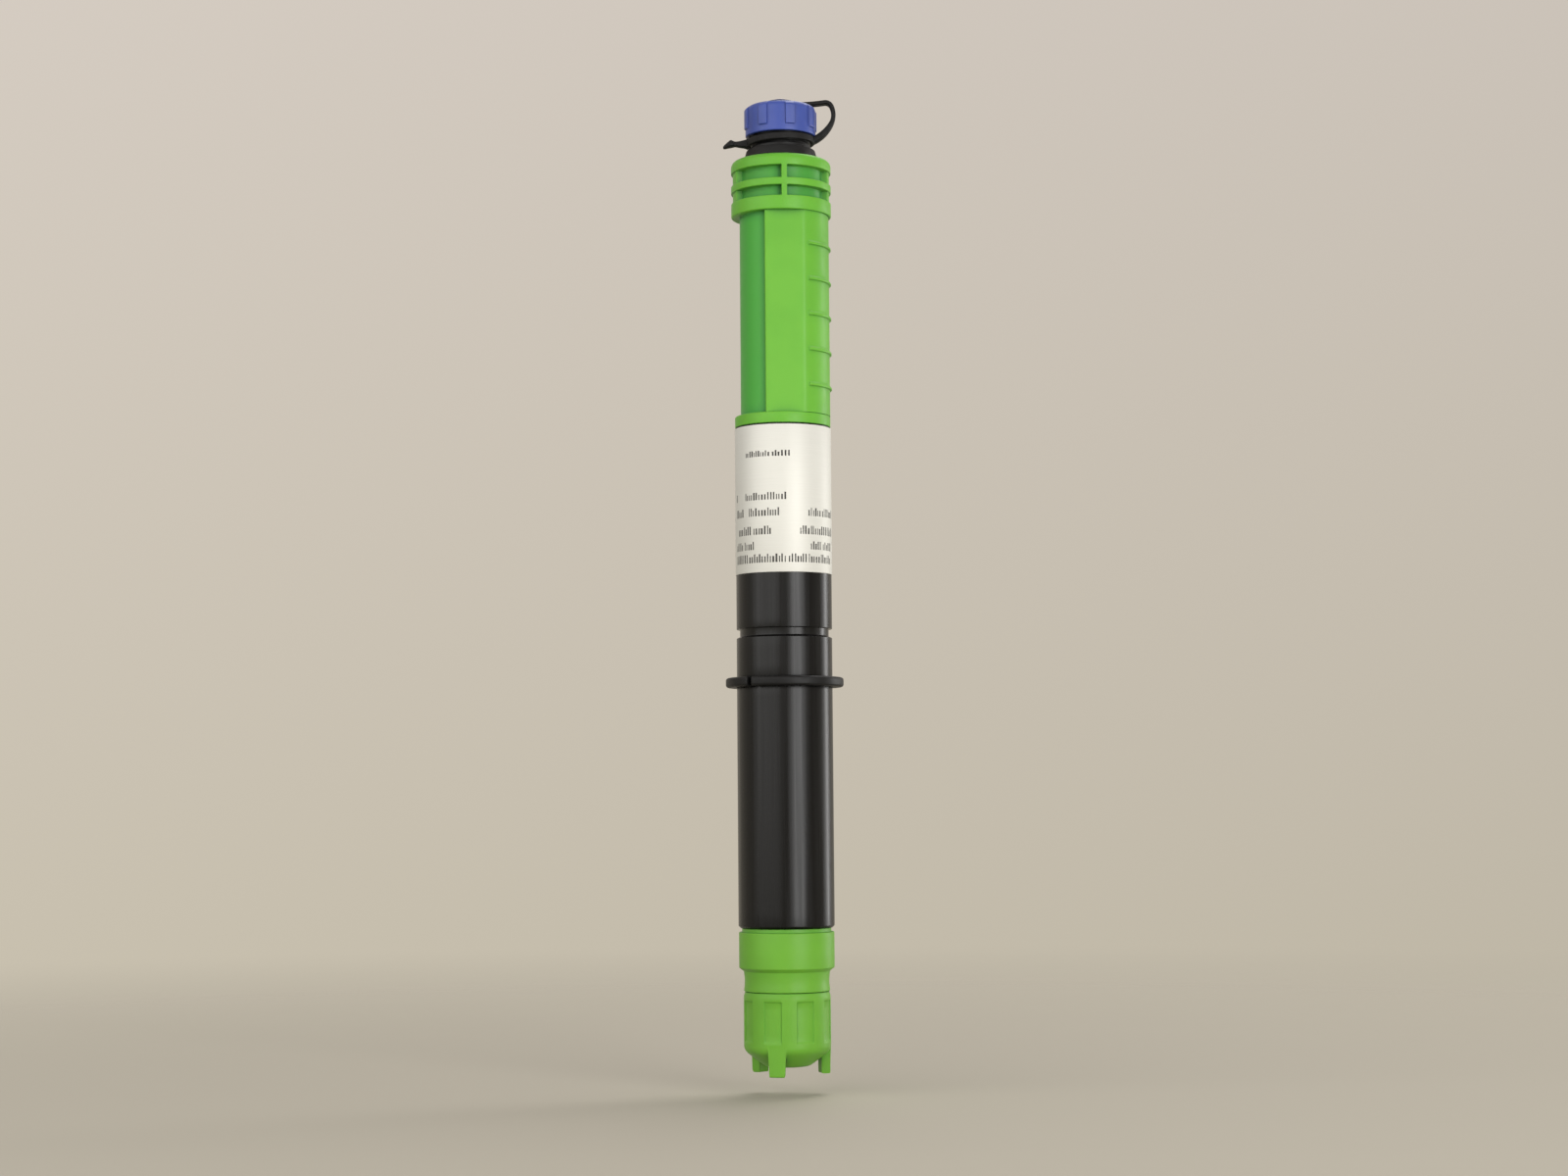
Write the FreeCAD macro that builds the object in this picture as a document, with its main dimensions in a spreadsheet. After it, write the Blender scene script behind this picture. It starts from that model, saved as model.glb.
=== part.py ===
import FreeCAD, Part
import math
import os
import re
import Sketcher

# Amperometric chlorine sensor: a rod-shaped cell for a 25 mm flow-cell port.
# Millimetres, +Z up along the rod. The origin is on the axis, at the underside
# of the clamp ring that rests on the flow cell. The front is -Y, and a turn is
# counted from the front towards +X.

SIZES = {
    # Body tube, its label and the clamp ring
    "tube_radius": 12.5,
    "tube_wall": 2.6,
    "tube_reach": 62.4,
    "tube_rise": 68.3,
    "tube_chamfer": 0.6,
    "ring_radius": 15.4,
    "ring_height": 2.5,
    "ring_seat_depth": 1.2,
    "ring_step": 0.1,
    "ring_round": 0.7,
    "ring_gap": 1.3,
    "ring_turn": -37,
    "spare_groove_rise": 12.8,
    "spare_groove_height": 2.4,
    "spare_groove_depth": 0.9,
    "label_setback": 0.4,
    "label_height": 38.5,
    "label_thickness": 0.15,
    "label_seam": 0.8,
    # Spigots and their seals
    "slip": 0.2,
    "spigot_length": 11.0,
    "seal_section": 1.6,
    "seal_setback": 6.0,
    "seal_groove_height": 2.0,
    # Grip and its collar
    "foot_height": 2.9,
    "grip_proud": 0.05,
    "grip_length": 53.1,
    "grip_turn": 4,
    "grip_wall": 1.8,
    "recess_depth": 1.55,
    "panel_inset": 1.1,
    "finger_rib_rise": 6.9,
    "finger_rib_pitch": 9.3,
    "finger_rib_height": 1.2,
    "finger_rib_proud": 0.4,
    "finger_rib_half_angle": 61,
    "finger_rib_count": 5,
    "collar_radius": 13.2,
    "collar_root_radius": 11.4,
    "collar_chamfer": 0.3,
    "low_ring_height": 3.3,
    "low_window_height": 2.8,
    "mid_ring_height": 1.9,
    "high_window_height": 3.4,
    "top_ring_height": 3.3,
    "shoulder_round": 3.0,
    "window_step": 0.45,
    "window_half_angle": 52,
    "window_sides": 2,
    "collar_rib_width": 1.7,
    "grip_foot_bore_radius": 6.6,
    "grip_top_wall": 3.5,
    # Connector
    "gasket_thickness": 0.5,
    "gasket_radius": 9.2,
    "stem_radius": 6.0,
    "stem_wall": 1.1,
    "stem_length": 5.2,
    "flange_radius": 9.75,
    "flange_top_radius": 9.1,
    "flange_height": 2.4,
    "neck_radius": 8.0,
    "neck_wall": 1.6,
    "insert_thickness": 4.4,
    "pin_radius": 0.5,
    "pin_circle": 3.25,
    "pin_length": 10.0,
    "pin_tail": 3.1,
    "pin_count": 4,
    "nut_height": 3.0,
    "nut_clearance": 0.7,
    # Screw cap and tether
    "cap_radius": 9.3,
    "cap_wall": 1.3,
    "cap_height": 8.1,
    "cap_round": 1.5,
    "cap_chamfer": 0.3,
    "cap_rib_proud": 0.3,
    "cap_rib_half_angle": 7.5,
    "cap_rib_rise": 1.7,
    "cap_rib_drop": 0.9,
    "cap_rib_count": 8,
    "cap_turn": 15.7,
    "cap_seal_thickness": 0.5,
    "cap_seal_radius": 7.7,
    "stud_radius": 2.0,
    "stud_head_radius": 2.6,
    "stud_head_height": 0.5,
    "tether_room": 3.9,
    "tether_thickness": 1.2,
    "tether_width": 3.0,
    "tether_ring_height": 1.8,
    "tether_ring_wall": 0.85,
    "tether_tilt": 2.5,
    "tether_reach": 14.6,
    "strap_heading": 25,
    "strap_slope": 60,
    "strap_crest": 115,
    "strap_crest_radius": 1.8,
    "strap_dip": 188,
    "strap_bulge": 0.5,
    "eyelet_radius": 4.2,
    "tail_reach": 15.3,
    "tail_root_height": 2.8,
    "tail_neck_height": 1.0,
    "tail_width": 2.4,
    # Electrode head
    "shoulder_step": 0.8,
    "shoulder_height": 1.0,
    "band_inset": 0.1,
    "band_height": 9.2,
    "band_chamfer": 0.9,
    "head_neck_radius": 11.2,
    "head_neck_height": 5.15,
    "head_neck_hollow": 12.0,
    "nose_radius": 8.8,
    "nose_undercut": 0.5,
    "nose_length": 7.0,
    "head_cavity_radius": 6.6,
    "head_floor_depth": 6.0,
    "finger_radius": 3.0,
    "finger_stub": 4.0,
    "electrode_radius": 1.5,
    "electrode_thickness": 1.0,
    "sleeve_wall": 0.5,
    "sleeve_length": 6.5,
    "sleeve_setback": 2.15,
    "probe_radius": 1.2,
    "probe_offset": 4.9,
    "probe_depth": 10.0,
    # Membrane cap
    "parting_gap": 0.15,
    "membrane_cap_radius": 11.27,
    "membrane_cap_height": 19.25,
    "mouth_chamfer": 0.4,
    "mouth_seal_section": 1.3,
    "dome_height": 6.7,
    "dome_round": 5.0,
    "dome_sweep": 50,
    "window_radius": 3.6,
    "window_rim": 1.0,
    "chamber_radius": 7.6,
    "floor_radius": 6.4,
    "floor_thickness": 1.5,
    "membrane_thickness": 0.2,
    "film_gap": 0.05,
    "retainer_radius": 4.2,
    "retainer_height": 1.8,
    "leg_drop": 2.0,
    "leg_width": 4.1,
    "leg_inner_radius": 8.8,
    "leg_outer_radius": 11.1,
    "leg_height": 9.0,
    "leg_count": 3,
    "leg_turn": -14.5,
    "flute_depth": 0.35,
    "flute_half_angle": 12.2,
    "flute_length": 10.2,
    "flute_setback": 2.2,
    "flute_offset": -5.5,
    "flute_count": 8,
    # Circuit board and its leads
    "board_width": 16.0,
    "board_thickness": 1.6,
    "board_drop": 22.3,
    "board_length": 80.0,
    "board_fit": 0.05,
    "chip_height": 7.0,
    "chip_depth": 1.6,
    "trimmer_depth": 4.0,
    "spacer_thickness": 3.0,
    "spacer_inset": 6.0,
    "plug_width": 14.8,
    "plug_depth": 6.8,
    "plug_height": 10.0,
    "plug_slot": 4.0,
    "lead_radius": 0.5,
    "finger_lead_radius": 0.4,
    "finger_lead_offset": 1.5,
    "probe_lead_radius": 0.3,
    "probe_lead_offset": 0.5,
}

# Heights and radii that follow from the sizes
LEVELS = {
    "bore_radius": "tube_radius - tube_wall",
    "label_low": "tube_rise - label_setback - label_height",
    "ring_bore_radius": "tube_radius + ring_step",
    "spigot_radius": "bore_radius - slip",
    "seal_floor_radius": "bore_radius - seal_section",
    "seal_centre_radius": "bore_radius - seal_section / 2",
    "grip_radius": "tube_radius + grip_proud",
    "recess_radius": "grip_radius - recess_depth",
    "panel_distance": "grip_radius - panel_inset",
    "grip_low": "tube_rise + foot_height",
    "collar_low": "grip_low + grip_length",
    "collar_full": "collar_low + collar_chamfer",
    "window_low": "collar_full + low_ring_height",
    "mid_ring_low": "window_low + low_window_height",
    "mid_ring_top": "mid_ring_low + mid_ring_height",
    "window_top": "mid_ring_top + high_window_height",
    "window_wall_radius": "collar_radius - window_step",
    "grip_top": "window_top + top_ring_height",
    "grip_bore_radius": "recess_radius - grip_wall",
    "grip_ceiling": "grip_top - grip_top_wall",
    "nut_corner_radius": "grip_bore_radius - nut_clearance",
    "stem_hole_radius": "stem_radius + slip / 2",
    "flange_low": "grip_top + gasket_thickness",
    "flange_top": "flange_low + flange_height",
    "stem_low": "flange_low - grip_top_wall - stem_length",
    "socket_radius": "neck_radius - neck_wall",
    "insert_low": "flange_low + flange_height / 3",
    "insert_top": "insert_low + insert_thickness",
    "pin_low": "insert_low - pin_tail",
    "cap_low": "flange_top + tether_room",
    "cap_top": "cap_low + cap_height",
    "cap_ceiling": "cap_top - cap_wall",
    "cap_bore_radius": "neck_radius + slip",
    "cap_seal_low": "cap_ceiling - cap_seal_thickness",
    "socket_rim": "cap_seal_low - film_gap",
    "band_radius": "tube_radius - band_inset",
    "shoulder_radius": "band_radius - shoulder_step",
    "shoulder_low": "-(tube_reach + shoulder_height)",
    "band_low": "shoulder_low - band_height",
    "head_neck_top": "band_low - band_chamfer",
    "head_neck_low": "head_neck_top - head_neck_height",
    "nose_low": "head_neck_low - nose_length",
    "spigot_top": "-tube_reach + spigot_length",
    "head_floor": "-(tube_reach + head_floor_depth)",
    "finger_top": "head_floor + finger_stub",
    "membrane_cap_top": "head_neck_low - parting_gap",
    "membrane_cap_low": "membrane_cap_top - membrane_cap_height",
    "membrane_low": "membrane_cap_low + floor_thickness",
    "membrane_top": "membrane_low + membrane_thickness",
    "finger_tip": "membrane_top + film_gap",
    "sleeve_low": "finger_tip + sleeve_setback",
    "mouth_seal_radius": "nose_radius + slip / 2 + mouth_seal_section / 2",
    "mouth_radius": "mouth_seal_radius + mouth_seal_section / 2 + film_gap",
    "mouth_floor": "membrane_cap_top - mouth_seal_section",
    "board_top": "tube_rise - board_drop",
    "board_low": "board_top - board_length",
    "board_face": "board_thickness / 2",
}

doc = FreeCAD.newDocument("ChlorineSensor")
sheet = doc.addObject("Spreadsheet::Sheet", "Sizes")
for row, (alias, number) in enumerate(SIZES.items(), start=1):
    sheet.set(f"A{row}", alias)
    sheet.set(f"B{row}", str(number))
    sheet.setAlias(f"B{row}", alias)
doc.recompute()

subparts = []


def bound(text):
    # Writes a formula of plain names as one that reads the sheet
    def swap(found):
        word = found.group(0)
        if word in LEVELS:
            return "(" + bound(LEVELS[word]) + ")"
        if word in SIZES:
            return "Sizes." + word
        return word
    return re.sub(r"[a-z][a-z_]*", swap, text)


def value(text):
    return float(sheet.evalExpression(bound(text)))


def add_body(name, turn="0"):
    body = doc.addObject("PartDesign::Body", name)
    body.Label = name
    body.Placement = FreeCAD.Placement(
        FreeCAD.Vector(0, 0, 0), FreeCAD.Rotation(FreeCAD.Vector(0, 0, 1), value(turn)))
    subparts.append(body)
    return body


def origin_feature(body, role):
    for feature in body.Origin.OriginFeatures:
        if feature.Role == role:
            return feature


def add_sketch(body, name, plane, lift="0"):
    sketch = body.newObject("Sketcher::SketchObject", name)
    sketch.AttachmentSupport = (origin_feature(body, plane), "")
    sketch.MapMode = "FlatFace"
    sketch.setExpression("AttachmentOffset.Base.z", bound(lift))
    return sketch


def constrain(sketch, kind, first, formula):
    index = sketch.addConstraint(Sketcher.Constraint(kind, *first, value(formula)))
    sketch.setExpression(f"Constraints[{index}]", bound(formula))


def arc_middle(start, end, radius):
    # A positive radius has its centre to the left of the way from start to end
    chord = end - start
    side = math.copysign(1, radius)
    left = FreeCAD.Vector(-chord.y, chord.x, 0).normalize() * side
    sag = abs(radius) - math.sqrt(radius ** 2 - (chord.Length / 2) ** 2)
    return (start + end) * 0.5 - left * sag


def add_outline(sketch, corners):
    # Each corner is (across, up), or (across, up, radius) where an arc leaves it
    places = [FreeCAD.Vector(value(c[0]), value(c[1]), 0) for c in corners]
    ends = []
    for i, corner in enumerate(corners):
        start, end = places[i], places[(i + 1) % len(places)]
        if len(corner) == 3:
            middle = arc_middle(start, end, value(corner[2]))
            edge = sketch.addGeometry(Part.Arc(start, middle, end), False)
            turned = sketch.getPoint(edge, 1).distanceToPoint(start) > 1e-6
            ends.append((edge, 2, 1) if turned else (edge, 1, 2))
        else:
            edge = sketch.addGeometry(Part.LineSegment(start, end), False)
            ends.append((edge, 1, 2))
    for i, (edge, first, _) in enumerate(ends):
        before, _, last = ends[i - 1]
        sketch.addConstraint(Sketcher.Constraint("Coincident", before, last, edge, first))
        constrain(sketch, "DistanceX", (-1, 1, edge, first), corners[i][0])
        constrain(sketch, "DistanceY", (-1, 1, edge, first), corners[i][1])
    for corner, (edge, _, _) in zip(corners, ends):
        if len(corner) == 3:
            constrain(sketch, "Radius", (edge,), f"abs({corner[2]})")


def add_circle(sketch, across, up, radius):
    centre = FreeCAD.Vector(value(across), value(up), 0)
    circle = Part.Circle(centre, FreeCAD.Vector(0, 0, 1), value(radius))
    edge = sketch.addGeometry(circle, False)
    constrain(sketch, "DistanceX", (-1, 1, edge, 3), across)
    constrain(sketch, "DistanceY", (-1, 1, edge, 3), up)
    constrain(sketch, "Radius", (edge,), radius)


def box_corners(left, right, low, high):
    return [(left, low), (right, low), (right, high), (left, high)]


def sector_corners(inner, outer, half_angle, middle):
    # A piece of a ring, as wide as half_angle to each side of the middle turn
    first = f"({middle} - {half_angle})"
    last = f"({middle} + {half_angle})"
    return [
        (f"{inner} * sin({first})", f"-{inner} * cos({first})"),
        (f"{outer} * sin({first})", f"-{outer} * cos({first})", outer),
        (f"{outer} * sin({last})", f"-{outer} * cos({last})"),
        (f"{inner} * sin({last})", f"-{inner} * cos({last})", f"-{inner}"),
    ]


def turn_profile(body, name, kind, corners):
    # Revolves a half section in the XZ plane about the rod's axis
    sketch = add_sketch(body, name + "_profile", "XZ_Plane")
    add_outline(sketch, corners)
    feature = body.newObject("PartDesign::" + kind, name)
    feature.Profile = sketch
    feature.ReferenceAxis = (sketch, ["V_Axis"])
    feature.Angle = 360
    sketch.Visibility = False
    doc.recompute()
    return feature


def raise_profile(body, name, kind, lift, height, corners=(), circles=()):
    # Pads or cuts a flat outline upwards from the level called lift
    sketch = add_sketch(body, name + "_outline", "XY_Plane", lift)
    if corners:
        add_outline(sketch, corners)
    for across, up, radius in circles:
        add_circle(sketch, across, up, radius)
    feature = body.newObject("PartDesign::" + kind, name)
    feature.Profile = sketch
    feature.setExpression("Length", bound(height))
    feature.Reversed = kind == "Pocket"
    doc.recompute()
    return feature


def repeat_round(body, name, feature, count):
    pattern = body.newObject("PartDesign::PolarPattern", name)
    pattern.Originals = [feature]
    pattern.Axis = (origin_feature(body, "Z_Axis"), [""])
    pattern.Angle = 360
    pattern.setExpression("Occurrences", bound(count))
    body.Tip = pattern
    doc.recompute()
    return pattern


def repeat_up(body, name, feature, pitch, count):
    pattern = body.newObject("PartDesign::LinearPattern", name)
    pattern.Originals = [feature]
    pattern.Direction = (origin_feature(body, "Z_Axis"), [""])
    pattern.setExpression("Length", bound(f"{pitch} * ({count} - 1)"))
    pattern.setExpression("Occurrences", bound(count))
    body.Tip = pattern
    doc.recompute()
    return pattern


def add_primitive(kind, name, sizes, base=("0", "0", "0")):
    # A Part primitive with its sizes and its place tied to the sheet
    shape = doc.addObject("Part::" + kind, name)
    for key, formula in sizes.items():
        shape.setExpression(key, bound(formula))
    for axis, formula in zip("xyz", base):
        shape.setExpression(f"Placement.Base.{axis}", bound(formula))
    return shape


def add_tube(name, outer, inner, low, height):
    # A plain turned ring
    body = add_body(name)
    circles = [("0", "0", outer), ("0", "0", inner)]
    raise_profile(body, name + "_ring", "Pad", low, height, circles=circles)
    return body


def add_seal(name, centre_radius, section, level):
    # A round seal lying in its groove
    ring = add_primitive(
        "Torus", name,
        {"Radius1": centre_radius, "Radius2": f"{section} / 2"}, ("0", "0", level))
    ring.Label = name
    subparts.append(ring)
    return ring


def add_group(name, members):
    group = doc.addObject("Part::Compound", name)
    group.Label = name
    group.Links = members
    subparts.append(group)
    return group


def make_body_tube():
    body = add_body("body_tube")
    turn_profile(body, "tube_wall_turned", "Revolution", [
        ("bore_radius", "-tube_reach"),
        ("tube_radius - tube_chamfer", "-tube_reach"),
        ("tube_radius", "-tube_reach + tube_chamfer"),
        ("tube_radius", "ring_step"),
        ("tube_radius - ring_seat_depth", "ring_step"),
        ("tube_radius - ring_seat_depth", "ring_height"),
        ("tube_radius", "ring_height"),
        ("tube_radius", "spare_groove_rise"),
        ("tube_radius - spare_groove_depth", "spare_groove_rise + spare_groove_depth / 2"),
        ("tube_radius - spare_groove_depth", "spare_groove_rise + spare_groove_height"),
        ("tube_radius", "spare_groove_rise + spare_groove_height"),
        ("tube_radius", "tube_rise - tube_chamfer / 2"),
        ("tube_radius - tube_chamfer / 2", "tube_rise"),
        ("bore_radius", "tube_rise"),
    ])


def make_clamp_ring():
    # A split plastic ring snapped into its groove, its rim a hair lower than its seat
    body = add_body("clamp_ring", "ring_turn")
    turn_profile(body, "ring_turned", "Revolution", [
        ("tube_radius - ring_seat_depth", "ring_step"),
        ("ring_bore_radius", "ring_step"),
        ("ring_bore_radius", "0"),
        ("ring_radius - ring_round", "0", "ring_round"),
        ("ring_radius", "ring_round"),
        ("ring_radius", "ring_height - ring_round", "ring_round"),
        ("ring_radius - ring_round", "ring_height"),
        ("tube_radius - ring_seat_depth", "ring_height"),
    ])
    raise_profile(body, "ring_split", "Pocket", "0", "ring_height", box_corners(
        "-ring_gap / 2", "ring_gap / 2", "-(ring_radius + 1)", "0"))


def make_label():
    # A foil label wrapped round the tube, its seam at the back
    body = add_body("label")
    circles = [("0", "0", "tube_radius + label_thickness"), ("0", "0", "tube_radius")]
    raise_profile(body, "label_wrap", "Pad", "label_low", "label_height", circles=circles)
    raise_profile(body, "label_seam_cut", "Pocket", "label_low", "label_height", box_corners(
        "-label_seam / 2", "label_seam / 2", "0", "tube_radius + 1"))


def make_grip():
    body = add_body("grip", "grip_turn")
    turn_profile(body, "grip_core", "Revolution", [
        ("0", "tube_rise - spigot_length"),
        ("spigot_radius", "tube_rise - spigot_length"),
        ("spigot_radius", "tube_rise"),
        ("grip_radius", "tube_rise"),
        ("grip_radius", "grip_low"),
        ("recess_radius", "grip_low"),
        ("recess_radius", "collar_low"),
        ("collar_radius - collar_chamfer", "collar_low"),
        ("collar_radius", "collar_full"),
        ("collar_radius", "grip_top - shoulder_round", "shoulder_round"),
        ("collar_radius - shoulder_round", "grip_top"),
        ("0", "grip_top"),
    ])
    # The gripping side stands proud, with a flat panel at front and back
    panel_half = "sqrt(grip_radius^2 - panel_distance^2)"
    raise_profile(body, "grip_block", "Pad", "grip_low", "grip_length + collar_chamfer", [
        (f"-{panel_half}", "-panel_distance"),
        (panel_half, "-panel_distance", "grip_radius"),
        (panel_half, "panel_distance"),
        (f"-{panel_half}", "panel_distance"),
    ])
    rib = raise_profile(
        body, "finger_rib", "Pad", "grip_low + finger_rib_rise", "finger_rib_height",
        sector_corners(
            "recess_radius", "(grip_radius + finger_rib_proud)", "finger_rib_half_angle", "90"))
    repeat_up(body, "finger_ribs", rib, "finger_rib_pitch", "finger_rib_count")
    # A step runs round the collar at both levels, deep enough to be a window at front and back
    for name, low, height in (("low_window", "window_low", "low_window_height"),
                              ("high_window", "mid_ring_top", "high_window_height")):
        turn_profile(body, name + "_step", "Groove", box_corners(
            "window_wall_radius", "collar_radius + 1", low, f"{low} + {height}"))
        window = raise_profile(body, name, "Pocket", low, height, sector_corners(
            "collar_root_radius", "(collar_radius + 1)", "window_half_angle", "0"))
        repeat_round(body, name + "s", window, "window_sides")
    rib = raise_profile(
        body, "collar_rib", "Pad", "window_low", "window_top - window_low", [
            ("-collar_rib_width / 2", "-recess_radius"),
            ("-collar_rib_width / 2", "-sqrt(collar_radius^2 - collar_rib_width^2 / 4)",
             "collar_radius"),
            ("collar_rib_width / 2", "-sqrt(collar_radius^2 - collar_rib_width^2 / 4)"),
            ("collar_rib_width / 2", "-recess_radius"),
        ])
    repeat_round(body, "collar_ribs", rib, "window_sides")
    turn_profile(body, "grip_seal_groove", "Groove", box_corners(
        "seal_floor_radius", "spigot_radius + 1",
        "tube_rise - seal_setback - seal_groove_height / 2",
        "tube_rise - seal_setback + seal_groove_height / 2"))
    turn_profile(body, "grip_bore", "Groove", [
        ("0", "tube_rise - spigot_length"),
        ("grip_foot_bore_radius", "tube_rise - spigot_length"),
        ("grip_foot_bore_radius", "grip_low"),
        ("grip_bore_radius", "grip_low + grip_bore_radius - grip_foot_bore_radius"),
        ("grip_bore_radius", "grip_ceiling"),
        ("stem_hole_radius", "grip_ceiling"),
        ("stem_hole_radius", "grip_top"),
        ("0", "grip_top"),
    ])


def make_connector_shell():
    body = add_body("connector_shell")
    turn_profile(body, "shell_turned", "Revolution", [
        ("stem_radius - stem_wall", "stem_low"),
        ("stem_radius", "stem_low"),
        ("stem_radius", "flange_low"),
        ("flange_radius", "flange_low"),
        ("flange_top_radius", "flange_top"),
        ("neck_radius", "flange_top"),
        ("neck_radius", "socket_rim - cap_chamfer"),
        ("neck_radius - cap_chamfer", "socket_rim"),
        ("socket_radius", "socket_rim"),
        ("socket_radius", "insert_low"),
        ("stem_radius - stem_wall", "insert_low"),
    ])


def pin_circles(radius):
    # The pins stand on one circle, the first an eighth of a turn off the X axis
    circles = []
    for i in range(SIZES["pin_count"]):
        angle = f"(360 / pin_count * ({i} + 0.5))"
        circles.append((f"pin_circle * cos({angle})", f"pin_circle * sin({angle})", radius))
    return circles


def make_connector_insert():
    body = add_body("connector_insert")
    raise_profile(body, "insert_disc", "Pad", "insert_low", "insert_thickness",
                  circles=[("0", "0", "socket_radius")] + pin_circles("pin_radius"))


def make_contact_pins():
    pins = []
    for i, (across, up, radius) in enumerate(pin_circles("pin_radius")):
        sizes = {"Radius": radius, "Height": "pin_length"}
        pins.append(add_primitive("Cylinder", f"pin_{i + 1}", sizes, (across, up, "pin_low")))
    add_group("contact_pins", pins)


def make_connector_nut():
    body = add_body("connector_nut")
    corners = []
    for i in range(6):
        corners.append((f"nut_corner_radius * cos({60 * i})", f"nut_corner_radius * sin({60 * i})"))
    raise_profile(body, "nut_hexagon", "Pad", "grip_ceiling - nut_height", "nut_height", corners)
    raise_profile(body, "nut_bore", "Pocket", "grip_ceiling - nut_height", "nut_height",
                  circles=[("0", "0", "stem_radius")])


def make_screw_cap():
    body = add_body("screw_cap", "cap_turn")
    stud_top = "cap_top + tether_thickness + 3 * film_gap"
    turn_profile(body, "cap_turned", "Revolution", [
        ("0", "cap_ceiling"),
        ("cap_bore_radius", "cap_ceiling"),
        ("cap_bore_radius", "cap_low"),
        ("cap_radius - cap_chamfer", "cap_low"),
        ("cap_radius", "cap_low + cap_chamfer"),
        ("cap_radius", "cap_top - cap_round", "cap_round"),
        ("cap_radius - cap_round", "cap_top"),
        ("stud_radius", "cap_top"),
        ("stud_radius", stud_top),
        ("stud_head_radius", stud_top),
        ("stud_radius", f"{stud_top} + stud_head_height"),
        ("0", f"{stud_top} + stud_head_height"),
    ])
    rib = raise_profile(
        body, "cap_rib", "Pad", "cap_low + cap_rib_rise",
        "cap_height - cap_rib_rise - cap_rib_drop", sector_corners(
            "((cap_bore_radius + cap_radius) / 2)", "(cap_radius + cap_rib_proud)",
            "cap_rib_half_angle", "0"))
    repeat_round(body, "cap_ribs", rib, "cap_rib_count")


def strap_face(start, heading, bends, thickness):
    # A band of even thickness along arcs that run into each other smoothly, and
    # where it ends. Each bend is (radius, sweep), a positive sweep to the left.
    near, far = [], []
    place = FreeCAD.Vector(start[0], 0, start[1])
    for radius, sweep in bends:
        side = math.copysign(1, sweep)
        for edges, offset in ((near, -thickness / 2), (far, thickness / 2)):
            points = []
            for share in (0, 0.5, 1):
                turned = math.radians(heading + sweep * share)
                first = math.radians(heading)
                across = radius * side * (math.sin(turned) - math.sin(first))
                rise = -radius * side * (math.cos(turned) - math.cos(first))
                points.append(place + FreeCAD.Vector(
                    across + offset * math.sin(turned), 0, rise - offset * math.cos(turned)))
            edges.append(Part.Arc(*points).toShape())
        turned = math.radians(heading + sweep)
        first = math.radians(heading)
        place = place + FreeCAD.Vector(
            radius * side * (math.sin(turned) - math.sin(first)), 0,
            -radius * side * (math.cos(turned) - math.cos(first)))
        heading += sweep
    first_cap = Part.LineSegment(near[0].Vertexes[0].Point, far[0].Vertexes[0].Point).toShape()
    last_cap = Part.LineSegment(near[-1].Vertexes[-1].Point, far[-1].Vertexes[-1].Point).toShape()
    edges = near + far + [first_cap, last_cap]
    return Part.Face(Part.Wire(Part.__sortEdges__(edges))), place


def extrude_across(face, width):
    face.translate(FreeCAD.Vector(0, -width / 2, 0))
    return face.extrude(FreeCAD.Vector(0, width, 0))


def make_neck_ring(level, outer):
    height = value("tether_ring_height")
    low = FreeCAD.Vector(0, 0, -height / 2)
    ring = Part.makeCylinder(outer, height, low)
    ring = ring.cut(Part.makeCylinder(value("neck_radius + slip"), height, low))
    ring.rotate(FreeCAD.Vector(0, 0, 0), FreeCAD.Vector(0, -1, 0), value("tether_tilt"))
    ring.translate(FreeCAD.Vector(0, 0, level))
    return ring


def make_strap(start, eyelet_level):
    # Leaves the ring, turns back over the cap and comes down flat at the eyelet.
    # The two long bends are as large as the reach and the height ask for.
    first, second, third, last = (
        value(name) for name in ("strap_heading", "strap_slope", "strap_crest", "strap_dip"))
    thickness = value("tether_thickness")
    crest_radius = value("strap_crest_radius")
    bulge = value("strap_bulge")

    def sine(turn):
        return math.sin(math.radians(turn))

    def cosine(turn):
        return math.cos(math.radians(turn))

    reach = value("tether_reach") - thickness / 2 - start[0]
    rise = eyelet_level + bulge - start[1] - crest_radius * (cosine(third) - cosine(last))
    out_a, out_b = sine(second) - sine(first), 1 - sine(second)
    up_a, up_b = cosine(first) - cosine(second), cosine(second) - cosine(third)
    scale = out_a * up_b - out_b * up_a
    slope_radius = (reach * up_b - rise * out_b) / scale
    turn_radius = (rise * out_a - reach * up_a) / scale
    dip_radius = bulge / (1 + cosine(last))
    bends = [(slope_radius, second - first), (turn_radius, third - second),
             (crest_radius, last - third), (dip_radius, 180 - last)]
    face, end = strap_face(start, first, bends, thickness)
    width = value("tether_width")
    strap = extrude_across(face, width)
    tongue = Part.makeBox(
        end.x - value("stud_head_radius"), width, thickness,
        FreeCAD.Vector(value("stud_head_radius"), -width / 2, eyelet_level - thickness / 2))
    return strap.fuse(tongue)


def make_eyelet(level):
    thickness = value("tether_thickness")
    low = FreeCAD.Vector(0, 0, level - thickness / 2)
    return Part.makeCylinder(value("eyelet_radius"), thickness, low)


def make_tail(level, outer):
    # A barbed tail: full height at the ring, a thin neck, then an arrow tip
    root = value("tail_root_height") / 2
    neck = value("tail_neck_height") / 2
    length = value("tail_reach") - outer
    shape = [
        (-0.1, root), (0.12, 1.5 * neck), (0.5, neck), (0.62, 2.1 * neck),
        (0.72, 1.9 * neck), (1.0, -0.7 * neck), (0.97, -1.9 * neck), (0.86, -2.3 * neck),
        (0.68, -neck), (0.5, -neck), (0.12, -1.7 * neck), (-0.1, -root)]
    corners = [FreeCAD.Vector(-(outer + share * length), 0, level + up) for share, up in shape]
    face = Part.Face(Part.makePolygon(corners + corners[:1]))
    return extrude_across(face, value("tail_width"))


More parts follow.
